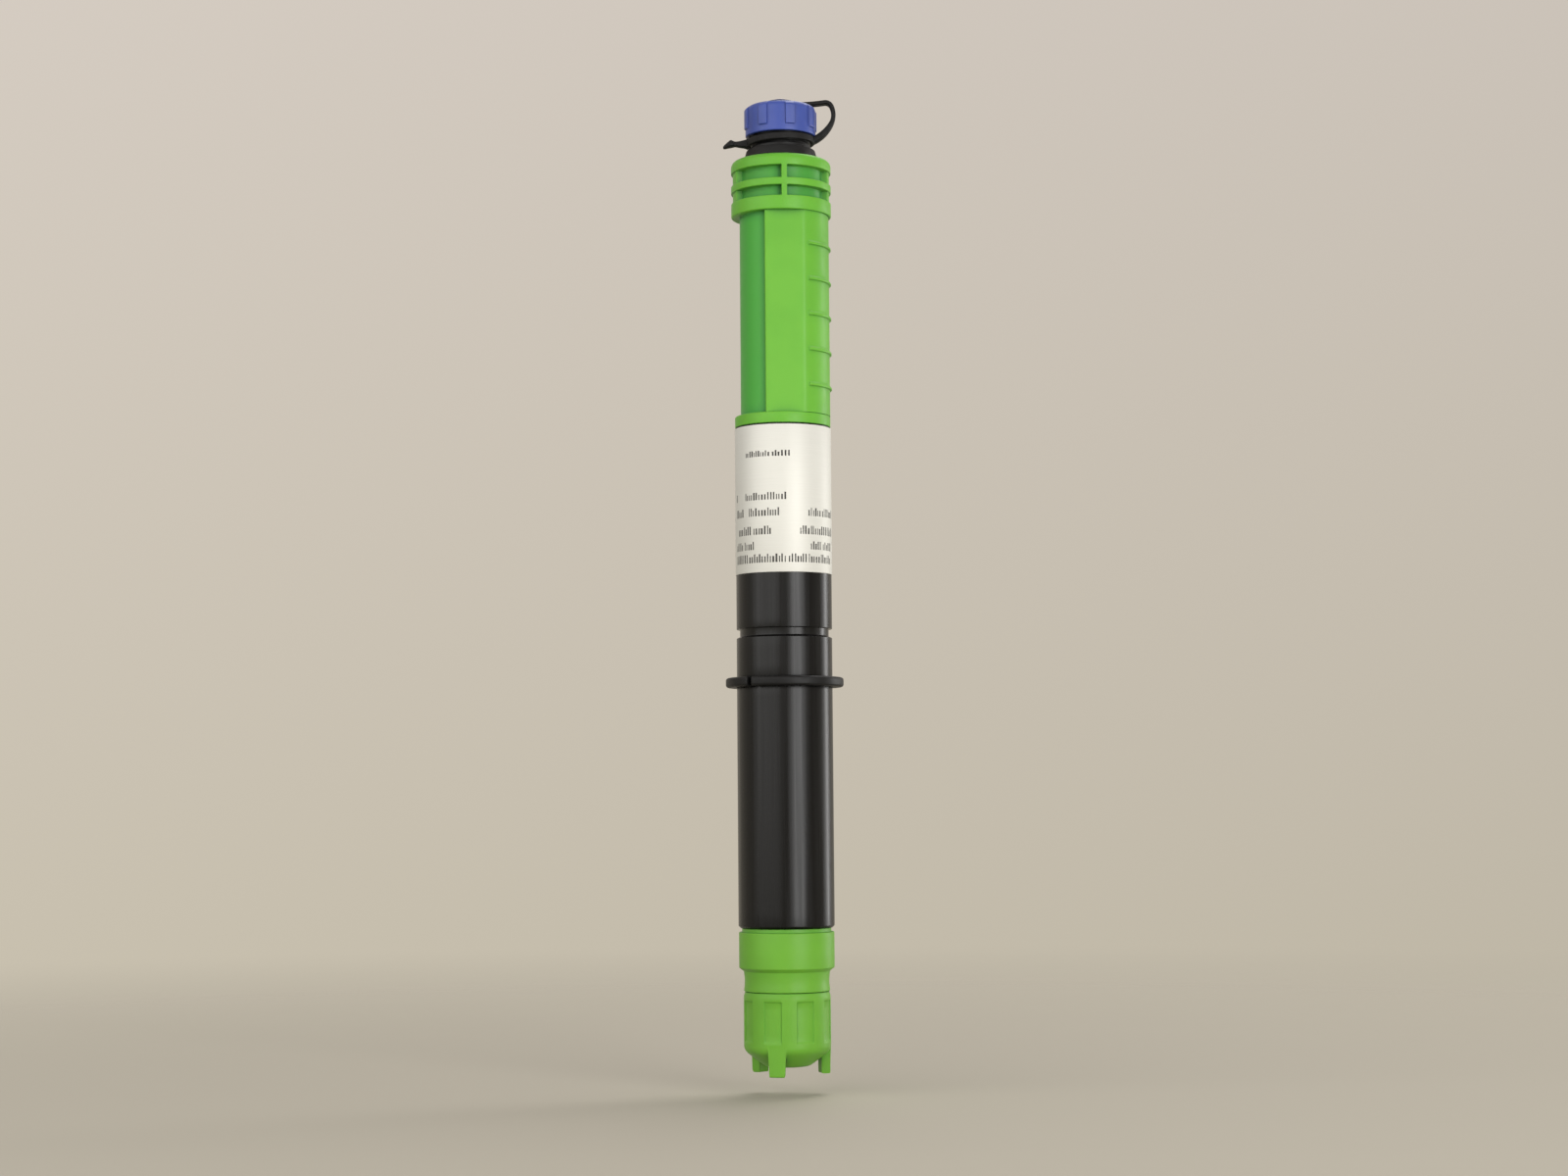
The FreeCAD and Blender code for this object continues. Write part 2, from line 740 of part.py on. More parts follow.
def make_tether():
    # One rubber moulding: a neck ring under the cap, a bent strap to the eyelet on
    # the cap's stud, and a barbed tail. Its form fits neither a pad nor a turned piece.
    outer = value("neck_radius + slip + tether_ring_wall")
    rise = outer * math.sin(math.radians(value("tether_tilt")))
    level = value("cap_low - tether_ring_height / 2 - slip / 2") - rise
    middle = outer - value("tether_ring_wall") / 2
    eyelet_level = value("cap_top + film_gap + tether_thickness / 2")
    shape = make_neck_ring(level, outer)
    shape = shape.fuse(make_strap((middle, level + rise), eyelet_level))
    shape = shape.fuse(make_eyelet(eyelet_level))
    shape = shape.fuse(make_tail(level - rise, outer))
    high = value("cap_height")
    shape = shape.cut(Part.makeCylinder(value("stud_radius + slip / 2"), high,
                                        FreeCAD.Vector(0, 0, value("cap_top"))))
    shape = shape.cut(Part.makeCylinder(value("neck_radius + slip"), high,
                                        FreeCAD.Vector(0, 0, value("cap_low") - high)))
    feature = doc.addObject("Part::Feature", "tether_strap")
    feature.Label = "tether_strap"
    feature.Shape = shape.removeSplitter()
    feature.Placement = FreeCAD.Placement()
    subparts.append(feature)


def make_electrode_head():
    body = add_body("electrode_head")
    turn_profile(body, "head_turned", "Revolution", [
        ("head_cavity_radius", "spigot_top"),
        ("head_cavity_radius", "head_floor"),
        ("finger_radius", "head_floor"),
        ("finger_radius", "nose_low"),
        ("nose_radius - nose_undercut", "nose_low"),
        ("nose_radius", "nose_low + nose_undercut"),
        ("nose_radius", "head_neck_low - 2 * mouth_seal_section + nose_undercut"),
        ("nose_radius - nose_undercut", "head_neck_low - 2 * mouth_seal_section + 2 * nose_undercut"),
        ("nose_radius - nose_undercut", "head_neck_low"),
        ("head_neck_radius", "head_neck_low", "-head_neck_hollow"),
        ("head_neck_radius", "head_neck_top"),
        ("band_radius", "band_low"),
        ("band_radius", "shoulder_low"),
        ("shoulder_radius", "shoulder_low"),
        ("shoulder_radius", "-tube_reach"),
        ("spigot_radius", "-tube_reach"),
        ("spigot_radius", "spigot_top"),
    ])
    turn_profile(body, "head_seal_groove", "Groove", box_corners(
        "seal_floor_radius", "spigot_radius + 1",
        "seal_setback - tube_reach - seal_groove_height / 2",
        "seal_setback - tube_reach + seal_groove_height / 2"))
    raise_profile(body, "probe_bore", "Pocket", "head_floor - probe_depth", "probe_depth",
                  circles=[("probe_offset", "0", "probe_radius + film_gap")])


def make_electrodes():
    body = add_body("electrode_finger")
    turn_profile(body, "finger_turned", "Revolution", [
        ("0", "finger_tip + electrode_thickness"),
        ("electrode_radius", "finger_tip + electrode_thickness"),
        ("electrode_radius", "finger_tip"),
        ("finger_radius", "finger_tip"),
        ("finger_radius", "sleeve_low"),
        ("finger_radius - sleeve_wall", "sleeve_low"),
        ("finger_radius - sleeve_wall", "sleeve_low + sleeve_length"),
        ("finger_radius", "sleeve_low + sleeve_length"),
        ("finger_radius", "finger_top"),
        ("0", "finger_top"),
    ])
    body = add_body("working_electrode")
    raise_profile(body, "electrode_disc", "Pad", "finger_tip", "electrode_thickness",
                  circles=[("0", "0", "electrode_radius")])
    add_tube("counter_electrode", "finger_radius", "finger_radius - sleeve_wall",
             "sleeve_low", "sleeve_length")
    body = add_body("thermistor")
    raise_profile(body, "probe_sleeve", "Pad", "head_floor - probe_depth",
                  "probe_depth + finger_stub", circles=[("probe_offset", "0", "probe_radius")])


def make_membrane_cap():
    body = add_body("membrane_cap", "leg_turn")
    dome_centre = "(membrane_cap_radius - dome_round)"
    turn_profile(body, "membrane_cap_turned", "Revolution", [
        ("window_radius", "membrane_cap_low"),
        ("window_radius + window_rim", "membrane_cap_low"),
        ("floor_radius - membrane_thickness", "membrane_cap_low + floor_thickness / 4"),
        (f"{dome_centre} + dome_round * cos(dome_sweep)",
         "membrane_cap_low + dome_height - dome_round * sin(dome_sweep)", "dome_round"),
        ("membrane_cap_radius", "membrane_cap_low + dome_height"),
        ("membrane_cap_radius", "membrane_cap_top - mouth_chamfer"),
        ("membrane_cap_radius - mouth_chamfer", "membrane_cap_top"),
        ("mouth_radius", "membrane_cap_top"),
        ("mouth_radius", "mouth_floor"),
        ("nose_radius + slip", "mouth_floor"),
        ("nose_radius + slip", "nose_low - parting_gap"),
        ("chamber_radius", "nose_low - nose_radius + chamber_radius"),
        ("chamber_radius", "membrane_low + retainer_height * 2"),
        ("floor_radius", "membrane_low + retainer_height * 2 - chamber_radius + floor_radius"),
        ("floor_radius", "membrane_low"),
        ("window_radius", "membrane_low"),
    ])
    flute = raise_profile(
        body, "flute", "Pocket", "membrane_cap_top - flute_setback - flute_length",
        "flute_length", sector_corners(
            "(membrane_cap_radius - flute_depth)", "(membrane_cap_radius + 1)",
            "flute_half_angle", "flute_offset"))
    repeat_round(body, "flutes", flute, "flute_count")
    leg = raise_profile(
        body, "leg", "Pad", "membrane_cap_low - leg_drop", "leg_height", [
            ("-leg_width / 2", "-leg_inner_radius"),
            ("-leg_width / 2", "-sqrt(leg_outer_radius^2 - leg_width^2 / 4)",
             "leg_outer_radius"),
            ("leg_width / 2", "-sqrt(leg_outer_radius^2 - leg_width^2 / 4)"),
            ("leg_width / 2", "-leg_inner_radius"),
        ])
    repeat_round(body, "legs", leg, "leg_count")
    # The chamber stays open past the legs' inner faces
    turn_profile(body, "chamber_cleared", "Groove", box_corners(
        "0", "chamber_radius", "membrane_low + retainer_height * 2", "nose_low"))


def make_membrane():
    body = add_body("membrane")
    raise_profile(body, "membrane_disc", "Pad", "membrane_low", "membrane_thickness",
                  circles=[("0", "0", "floor_radius")])
    add_tube("membrane_retainer", "floor_radius", "retainer_radius",
             "membrane_top", "retainer_height")


def make_board():
    body = add_body("circuit_board")
    raise_profile(body, "board_blank", "Pad", "board_low", "board_length", box_corners(
        "-board_width / 2", "board_width / 2", "-board_thickness / 2", "board_thickness / 2"))
    for name, low in (("board_spacer_lower", "board_low + spacer_inset"),
                      ("board_spacer_upper", "board_top - spacer_inset - spacer_thickness")):
        body = add_body(name)
        raise_profile(body, name + "_disc", "Pad", low, "spacer_thickness",
                      circles=[("0", "0", "bore_radius - slip / 2")])
        raise_profile(body, name + "_slot", "Pocket", low, "spacer_thickness", box_corners(
            "-(board_width / 2 + board_fit)", "board_width / 2 + board_fit",
            "-(board_thickness / 2 + board_fit)", "board_thickness / 2 + board_fit"))
    for name, low, slot in (
            ("electrode_plug", "board_low + plug_slot - plug_height", "board_low"),
            ("connector_plug", "board_top - plug_slot", "board_top - plug_slot")):
        body = add_body(name)
        raise_profile(body, name + "_block", "Pad", low, "plug_height", box_corners(
            "-plug_width / 2", "plug_width / 2", "-plug_depth / 2", "plug_depth / 2"))
        raise_profile(body, name + "_slot", "Pocket", slot, "plug_slot", box_corners(
            "-plug_width", "plug_width",
            "-(board_thickness / 2 + board_fit)", "board_thickness / 2 + board_fit"))


def make_board_components():
    # Each chip is (name, width, depth, height, middle, low edge)
    chips = []
    for name, width, depth, height, middle, low in (
            ("processor", "chip_height", "chip_depth", "chip_height",
             "0", "board_low + board_length * 5 / 9"),
            ("amplifier", "chip_height * 3 / 4", "chip_depth", "chip_height / 2",
             "-board_width / 5", "board_low + board_length / 3"),
            ("reference", "chip_height / 2", "chip_depth", "chip_height / 2",
             "board_width / 4", "board_low + board_length / 3"),
            ("trimmer", "chip_height", "trimmer_depth", "chip_height",
             "board_width / 8", "board_low + board_length * 3 / 4")):
        sizes = {"Length": width, "Width": depth, "Height": height}
        base = (f"{middle} - ({width}) / 2", f"-(board_face + {depth})", low)
        chips.append(add_primitive("Box", name, sizes, base))
    add_group("board_components", chips)


def add_leads(name, leads):
    # Each lead is (across, up, radius, low, high)
    wires = []
    for i, (across, up, radius, low, high) in enumerate(leads):
        sizes = {"Radius": radius, "Height": f"{high} - ({low})"}
        wires.append(add_primitive("Cylinder", f"{name}_{i + 1}", sizes, (across, up, low)))
    add_group(name, wires)


def make_leads():
    plug_top = "board_top - plug_slot + plug_height"
    add_leads("connector_leads", [
        (across, up, radius, plug_top, "pin_low")
        for across, up, radius in pin_circles("lead_radius")])
    plug_low = "board_low + plug_slot - plug_height"
    leads = []
    for side in ("-", ""):
        leads.append((f"{side}finger_lead_offset", "0", "finger_lead_radius",
                      "finger_top", plug_low))
    for side in ("-", "+"):
        leads.append((f"probe_offset {side} probe_lead_offset", "0", "probe_lead_radius",
                      "finger_top", plug_low))
    add_leads("signal_leads", leads)


def make_seals():
    add_seal("head_o_ring", "seal_centre_radius", "seal_section", "seal_setback - tube_reach")
    add_seal("grip_o_ring", "seal_centre_radius", "seal_section", "tube_rise - seal_setback")
    add_seal("membrane_cap_o_ring",
             "mouth_seal_radius", "mouth_seal_section",
             "head_neck_low - (mouth_seal_section + parting_gap) / 2")
    add_tube("connector_gasket", "gasket_radius", "stem_hole_radius",
             "grip_top", "gasket_thickness")
    add_tube("cap_gasket", "cap_seal_radius", "stem_radius", "cap_seal_low",
             "cap_seal_thickness")


make_body_tube()
make_clamp_ring()
make_label()
make_grip()
make_connector_shell()
make_connector_insert()
make_contact_pins()
make_connector_nut()
make_screw_cap()
make_tether()
make_electrode_head()
make_electrodes()
make_membrane_cap()
make_membrane()
make_board()
make_board_components()
make_leads()
make_seals()
doc.recompute()

for item in doc.Objects:
    if "Invalid" in item.State or "Error" in item.State:
        raise RuntimeError(f"{item.Label} did not build: {item.State}")
for part in subparts:
    if part.Shape.isNull() or not part.Shape.isValid() or not part.Shape.Solids:
        raise RuntimeError(f"{part.Label} has no sound solid")

os.makedirs("parts", exist_ok=True)
for part in subparts:
    part.Shape.exportStep(f"parts/{part.Label}.step")
    box = part.Shape.BoundBox
    print(f"{part.Label:22s} {len(part.Shape.Solids)} solid(s)  {part.Shape.Volume:9.1f} mm3  "
          f"z {box.ZMin:7.2f} to {box.ZMax:7.2f}  r {max(abs(box.XMin), box.XMax):6.2f}")
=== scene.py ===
import math
import random

import bmesh
import bpy
from mathutils import Matrix, Vector


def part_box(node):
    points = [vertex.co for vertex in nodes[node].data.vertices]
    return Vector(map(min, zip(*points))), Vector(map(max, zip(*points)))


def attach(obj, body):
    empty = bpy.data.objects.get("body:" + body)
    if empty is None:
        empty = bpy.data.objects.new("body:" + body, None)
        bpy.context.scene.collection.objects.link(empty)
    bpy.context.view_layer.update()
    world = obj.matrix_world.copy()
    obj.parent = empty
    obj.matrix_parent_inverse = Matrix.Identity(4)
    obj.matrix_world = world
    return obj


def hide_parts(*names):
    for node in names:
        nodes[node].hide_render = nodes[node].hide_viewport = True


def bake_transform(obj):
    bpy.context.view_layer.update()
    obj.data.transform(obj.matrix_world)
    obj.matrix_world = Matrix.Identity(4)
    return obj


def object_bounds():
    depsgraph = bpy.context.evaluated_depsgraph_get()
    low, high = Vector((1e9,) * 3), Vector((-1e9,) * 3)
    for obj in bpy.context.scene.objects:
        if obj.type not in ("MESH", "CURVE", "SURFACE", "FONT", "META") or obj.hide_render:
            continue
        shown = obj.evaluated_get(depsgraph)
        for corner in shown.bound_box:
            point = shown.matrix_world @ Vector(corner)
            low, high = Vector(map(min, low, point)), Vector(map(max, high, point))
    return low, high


# Amperometric chlorine sensor, dressed around its CAD frame.
# Piece sizes are in millimetres and turned into metres when a mesh is made.
# A turn is counted in degrees from the front (-Y) towards +X.

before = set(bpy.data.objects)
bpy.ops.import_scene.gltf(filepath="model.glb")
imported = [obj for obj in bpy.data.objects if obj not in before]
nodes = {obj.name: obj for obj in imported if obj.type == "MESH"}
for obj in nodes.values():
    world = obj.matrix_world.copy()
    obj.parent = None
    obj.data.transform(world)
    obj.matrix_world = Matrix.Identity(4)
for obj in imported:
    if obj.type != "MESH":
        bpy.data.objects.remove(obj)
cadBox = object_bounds()
mm = 0.001
print("frame loaded:", len(nodes), "nodes")


def nodeLow(name):
    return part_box(name)[0].z / mm


def nodeTop(name):
    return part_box(name)[1].z / mm


# Shapes

turnStep = 2.5  # degrees between the upright edges of a turned skin


def atTurn(radius, turn, height):
    angle = math.radians(turn)
    return Vector((radius * math.sin(angle), -radius * math.cos(angle), height))


def ramp(x, low, high):
    share = min(max((x - low) / (high - low), 0.0), 1.0)
    return share * share * (3 - 2 * share)


def softMin(a, b, blur):
    near = max(blur - abs(a - b), 0.0) / blur
    return min(a, b) - near * near * blur / 4


def softMax(a, b, blur):
    return -softMin(-a, -b, blur)


def turnGap(a, b):
    return abs((a - b + 180) % 360 - 180)


def softOutline(corners, closed=True, steps=5):
    # Corners are (radius, height, rounding). Gives (radius, height, corner number).
    points = []
    count = len(corners)
    for i, (x, y, rounding) in enumerate(corners):
        here = Vector((x, y))
        if not closed and i in (0, count - 1):
            points.append((x, y, i))
            continue
        before = Vector(corners[i - 1][:2]) - here
        after = Vector(corners[(i + 1) % count][:2]) - here
        bend = math.pi - before.angle(after)
        reach = rounding * math.tan(bend / 2)
        reach = min(reach, before.length * 0.48, after.length * 0.48)
        if reach < 1e-4 or bend < 0.02:
            points.append((x, y, i))
            continue
        start, end = here + before.normalized() * reach, here + after.normalized() * reach
        for k in range(steps + 1):
            t = k / steps
            weight = math.cos(bend / 2)  # a rational curve is a true arc
            a, b, c = (1 - t) ** 2, 2 * t * (1 - t) * weight, t * t
            place = (start * a + here * b + end * c) / (a + b + c)
            points.append((place.x, place.y, i))
    return points


def finishMesh(name, bm, sharp=38):
    bmesh.ops.remove_doubles(bm, verts=bm.verts, dist=1e-7)
    bmesh.ops.recalc_face_normals(bm, faces=bm.faces)
    mesh = bpy.data.meshes.new(name)
    bm.to_mesh(mesh)
    bm.free()
    mesh.shade_smooth()
    mesh.set_sharp_from_angle(angle=math.radians(sharp))
    piece = bpy.data.objects.new(name, mesh)
    bpy.context.scene.collection.objects.link(piece)
    return piece


def skinRows(name, rows, closedRows, sharp=38):
    # Rows are rings of millimetre points, joined by quads into one skin
    bm = bmesh.new()
    grid = [[bm.verts.new(point * mm) for point in row] for row in rows]
    rowPairs = list(zip(grid, grid[1:])) + ([(grid[-1], grid[0])] if closedRows else [])
    width = len(rows[0])
    for lower, upper in rowPairs:
        for i in range(width):
            j = (i + 1) % width
            bm.faces.new((lower[i], lower[j], upper[j], upper[i]))
    if not closedRows:
        for row in (grid[0], grid[-1]):
            if max((vert.co - row[0].co).length for vert in row) > 1e-6:
                bm.faces.new(row)
    return finishMesh(name, bm, sharp)


def denser(outline, levels):
    # Adds rows where the outline climbs past the given heights
    result = []
    for i, (x, y, corner) in enumerate(outline):
        result.append((x, y, corner))
        x2, y2, _ = outline[(i + 1) % len(outline)]
        if y2 - y > 0.5:
            for level in sorted(levels):
                if y + 0.01 < level < y2 - 0.01:
                    share = (level - y) / (y2 - y)
                    result.append((x + (x2 - x) * share, level, corner))
    return result


def evenLevels(low, top, step):
    levels = []
    while low < top:
        levels.append(low)
        low += step
    return levels


def turnsWith(stops, spread=0.9):
    # Even turns, with more of them round each stop
    turns = {round(i * turnStep, 4) for i in range(int(360 / turnStep))}
    for stop in stops:
        for k in range(-4, 5):
            turns.add(round((stop + spread * k / 4) % 360, 4))
    ordered = sorted(turns)
    return [t for i, t in enumerate(ordered) if i == 0 or t - ordered[i - 1] > 0.02]


def turnedPiece(name, corners, radiusAt=None, turns=None, closed=True, steps=5, levels=()):
    # Revolves a rounded outline. radiusAt(turn, radius, height, corner) may reshape it.
    outline = denser(softOutline(corners, closed, steps), levels)
    turns = turns or turnsWith(())
    rows = []
    for radius, height, corner in outline:
        row = []
        for turn in turns:
            own = radiusAt(turn, radius, height, corner) if radiusAt else radius
            row.append(atTurn(own, turn, height))
        rows.append(row)
    return skinRows(name, rows, closed)


def threadCut(turn, height, thread):
    # How deep a right-hand thread cuts here; it fades in and out at its ends
    phase = (height / thread["pitch"] - turn / 360) % 1.0
    tooth = 1 - abs(phase * 2 - 1)
    fade = ramp(height, thread["low"], thread["low"] + thread["fade"])
    fade *= 1 - ramp(height, thread["top"] - thread["fade"], thread["top"])
    return thread["depth"] * ramp(tooth, 0.2, 0.8) * fade


def ridePiece(piece, body, material, replaced=()):
    piece.data.materials.append(material)
    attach(piece, body)
    if replaced:
        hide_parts(*replaced)


# Materials

def linear(code):
    # sRGB hex to linear light
    parts = [int(code[i:i + 2], 16) / 255 for i in (1, 3, 5)]
    return [c / 12.92 if c <= 0.04045 else ((c + 0.055) / 1.055) ** 2.4 for c in parts] + [1.0]


def addNode(tree, kind, settings=None, links=None):
    # Adds one node; settings go to its fields or inputs, links to its inputs
    node = tree.nodes.new(kind)
    for key, value in (settings or {}).items():
        if isinstance(key, str) and hasattr(node, key):
            setattr(node, key, value)
        else:
            node.inputs[key].default_value = value
    for key, source in (links or {}).items():
        tree.links.new(source, node.inputs[key])
    return node


def startMaterial(name, surface):
    material = bpy.data.materials.new(name)
    material.use_nodes = True
    tree = material.node_tree
    tree.nodes.clear()
    shader = addNode(tree, "ShaderNodeBsdfPrincipled", surface)
    out = addNode(tree, "ShaderNodeOutputMaterial")
    tree.links.new(shader.outputs[0], out.inputs["Surface"])
    coords = addNode(tree, "ShaderNodeTexCoord").outputs["Object"]
    return material, tree, shader, coords


def mouldedPlastic(name, look):
    material, tree, shader, coords = startMaterial(name, {
        "IOR": look["ior"], "Specular IOR Level": look.get("skin", 0.5),
        "Subsurface Weight": look.get("glow", 0.0), "Subsurface Scale": 2 * mm})
    mottle = addNode(tree, "ShaderNodeTexNoise", {
        "Scale": 1 / (look["mottleSize"] * mm), "Detail": 3.0, "Roughness": 0.55},
        {"Vector": coords})
    spread = addNode(tree, "ShaderNodeMapRange", {"From Min": 0.35, "From Max": 0.6},
                     {"Value": mottle.outputs["Fac"]})
    tone = addNode(tree, "ShaderNodeMix", {
        "data_type": "RGBA", "A": linear(look["deep"]), "B": linear(look["colour"])},
        {"Factor": spread.outputs[0]})
    surface = tone.outputs["Result"]
    # Painted shade: faces set in below a given radius, the grip's recess and window floors, turn a
    # deeper green
    if "paintedRecessShade" in look:
        flat = addNode(tree, "ShaderNodeVectorMath", {"operation": "MULTIPLY", 1: (1, 1, 0)},
                       {0: coords})
        radius = addNode(tree, "ShaderNodeVectorMath", {"operation": "LENGTH"},
                         {0: flat.outputs["Vector"]})
        inner = addNode(tree, "ShaderNodeMapRange", {
            "From Min": look["paintedRecessShadeFrom"] * mm, "From Max": look["paintedRecessShadeTo"] * mm},
            {"Value": radius.outputs["Value"]})
        paintedRecessShade = addNode(tree, "ShaderNodeMix", {"data_type": "RGBA", "B": linear(look["paintedRecessShade"])},
                       {"Factor": inner.outputs[0], "A": surface})
        surface = paintedRecessShade.outputs["Result"]
    # Painted shade: an ambient-occlusion mask darkens creases, recesses and windows towards a shade
    # colour, or towards the mottle's deep colour where a look gives none
    paintedShade = addNode(tree, "ShaderNodeAmbientOcclusion", {
        "samples": 8, "Distance": look.get("paintedShadeReach", 2.0) * mm})
    shade = addNode(tree, "ShaderNodeMix", {
        "data_type": "RGBA", "A": linear(look.get("paintedShade", look["deep"]))},
        {"Factor": paintedShade.outputs["AO"], "B": surface})
    scuff = addNode(tree, "ShaderNodeTexNoise", {
        "Scale": 1 / (look["scuffSize"] * mm), "Detail": 6.0, "Roughness": 0.7},
        {"Vector": coords})
    wear = addNode(tree, "ShaderNodeMapRange", {
        "From Min": 0.3, "From Max": 0.75,
        "To Min": look["roughness"] - 0.05, "To Max": look["roughness"] + 0.12},
        {"Value": scuff.outputs["Fac"]})
    grain = addNode(tree, "ShaderNodeTexNoise", {
        "Scale": 1 / (look["grainSize"] * mm), "Detail": 4.0, "Roughness": 0.6},
        {"Vector": coords})
    bump = addNode(tree, "ShaderNodeBump", {
        "Strength": look["grainStrength"], "Distance": look["grainDepth"] * mm},
        {"Height": grain.outputs["Fac"]})
    tree.links.new(shade.outputs["Result"], shader.inputs["Base Color"])
    tree.links.new(wear.outputs[0], shader.inputs["Roughness"])
    tree.links.new(bump.outputs[0], shader.inputs["Normal"])
    return material


absSkin = dict(roughness=0.4, ior=1.54, glow=0.05, skin=0.22, mottleSize=16,
               scuffSize=3.0, grainSize=0.35, grainStrength=0.25, grainDepth=0.02)
# The darkest colour a look gives for its creases and recesses is painted shade
plasticLooks = {
    # Injection-moulded ABS: satin skin, colour that shifts a little with flow
    "absGreen": dict(colour="#6EAC36", deep="#68A434", paintedShade="#488D35", **absSkin),
    # The grip's own batch; its recess and window floors get a colder, deeper green as painted shade
    "absGrip": dict(colour="#6BB137", deep="#64AA34", paintedShade="#166036", paintedShadeReach=3.0,
                    paintedRecessShade="#4BA33D", paintedRecessShadeFrom=11.4, paintedRecessShadeTo=11.05, **absSkin),
    # Moulded polypropylene: softer, slightly waxy
    "ppBlue": dict(colour="#40519B", deep="#3A4B91", paintedShade="#131A50", paintedShadeReach=1.0,
                   roughness=0.38, ior=1.49, glow=0.04, skin=0.35, mottleSize=8,
                   scuffSize=2.0, grainSize=0.3, grainStrength=0.25, grainDepth=0.015),
    # Glass-filled polyamide: fine dull grain
    "paBlack": dict(colour="#121212", deep="#0D0D0D", roughness=0.45, ior=1.53, skin=0.2,
                    mottleSize=6, scuffSize=1.5, grainSize=0.18,
                    grainStrength=0.35, grainDepth=0.02),
    # Moulded elastomer: dull, with a dusty bloom
    "epdmBlack": dict(colour="#121111", deep="#0C0C0B", roughness=0.58, ior=1.5, skin=0.22,
                      mottleSize=4, scuffSize=1.2, grainSize=0.22,
                      grainStrength=0.4, grainDepth=0.02),
    # Natural polyamide and PEEK: warm white, smooth from the mould
    "paNatural": dict(colour="#DAD3C0", deep="#CEC6B2", roughness=0.45, ior=1.53,
                      mottleSize=5, scuffSize=1.5, grainSize=0.2,
                      grainStrength=0.2, grainDepth=0.01),
    # Extruded PVC lead insulation: even red with a soft shine
    "pvcRed": dict(colour="#A3281F", deep="#8E2019", roughness=0.4, ior=1.53,
                   mottleSize=4, scuffSize=1.0, grainSize=0.2,
                   grainStrength=0.2, grainDepth=0.01),
    # Moulded epoxy chip bodies: dull charcoal, finely pitted
    "epoxyBlack": dict(colour="#191919", deep="#131313", roughness=0.55, ior=1.55,
                       mottleSize=3, scuffSize=0.8, grainSize=0.1,
                       grainStrength=0.3, grainDepth=0.01),
    # Skived PTFE film: milky white, almost without shine
    "ptfeWhite": dict(colour="#E6E5E0", deep="#DCDBD5", roughness=0.5, ior=1.35,
                      mottleSize=4, scuffSize=1.0, grainSize=0.12,
                      grainStrength=0.2, grainDepth=0.005),
}
plastics = {name: mouldedPlastic(name, look) for name, look in plasticLooks.items()}


# Sizes in millimetres: how far apart the lines lie round the rod and along it
linedLooks = {
    # Extruded PVC tube: satin skin with faint drawing lines along it and light dust
    "pvcTubeBlack": dict(
        surface={"IOR": 1.53, "Specular IOR Level": 0.25}, low="#040404", high="#0D0C0C",
        smooth=0.21, rough=0.36, aroundSize=1.11, alongSize=71.4, detail=3.0, sharpness=0.5,
        depth=0.01, strength=0.18, dustSize=2.38),
    # Silver polyester label: metal film under a matt laminate, brushed round the rod
    "foilSilver": dict(
        surface={"Metallic": 0.12, "Coat Weight": 0.05, "Coat Roughness": 0.35},
        low="#D0CEC4", high="#DFDDD4", smooth=0.44, rough=0.58, aroundSize=11.1,
        alongSize=0.1923, detail=5.0, sharpness=0.7, depth=0.01, strength=0.12),
}


def linedSurface(name):
    look = linedLooks[name]
    material, tree, shader, coords = startMaterial(name, look["surface"])
    around, along = 1 / (look["aroundSize"] * mm), 1 / (look["alongSize"] * mm)
    stretch = addNode(tree, "ShaderNodeMapping", {"Scale": (around, around, along)},
                      {"Vector": coords})
    lines = addNode(tree, "ShaderNodeTexNoise", {
        "Scale": 1.0, "Detail": look["detail"], "Roughness": look["sharpness"]},
        {"Vector": stretch.outputs[0]}).outputs["Fac"]
    patches = lines
    if "dustSize" in look:
        dust = addNode(tree, "ShaderNodeTexNoise", {
            "Scale": 1 / (look["dustSize"] * mm), "Detail": 8.0, "Roughness": 0.75},
            {"Vector": coords})
        patches = addNode(tree, "ShaderNodeMapRange", {"From Min": 0.5, "From Max": 0.85},
                          {"Value": dust.outputs["Fac"]}).outputs[0]
    tone = addNode(tree, "ShaderNodeMix", {
        "data_type": "RGBA", "A": linear(look["low"]), "B": linear(look["high"])},
        {"Factor": patches})
    wear = addNode(tree, "ShaderNodeMapRange", {
        "From Min": 0.3, "From Max": 0.7, "To Min": look["smooth"], "To Max": look["rough"]},
        {"Value": lines})
    bump = addNode(tree, "ShaderNodeBump", {
        "Strength": look["strength"], "Distance": look["depth"] * mm}, {"Height": lines})
    tree.links.new(tone.outputs["Result"], shader.inputs["Base Color"])
    tree.links.new(wear.outputs[0], shader.inputs["Roughness"])
    tree.links.new(bump.outputs[0], shader.inputs["Normal"])
    return material


# Dark grey screen ink, thin enough to let the foil lighten it in places
inkLook = dict(dark="#1F1E1D", thin="#474541", roughness=0.6, ior=1.5, patchSize=0.385)


def screenInk():
    look = inkLook
    material, tree, shader, coords = startMaterial("inkGrey", {
        "Roughness": look["roughness"], "IOR": look["ior"]})
    thin = addNode(tree, "ShaderNodeTexNoise", {
        "Scale": 1 / (look["patchSize"] * mm), "Detail": 4.0}, {"Vector": coords})
    tone = addNode(tree, "ShaderNodeMix", {
        "data_type": "RGBA", "A": linear(look["dark"]), "B": linear(look["thin"])},
        {"Factor": thin.outputs["Fac"]})
    tree.links.new(tone.outputs["Result"], shader.inputs["Base Color"])
    return material


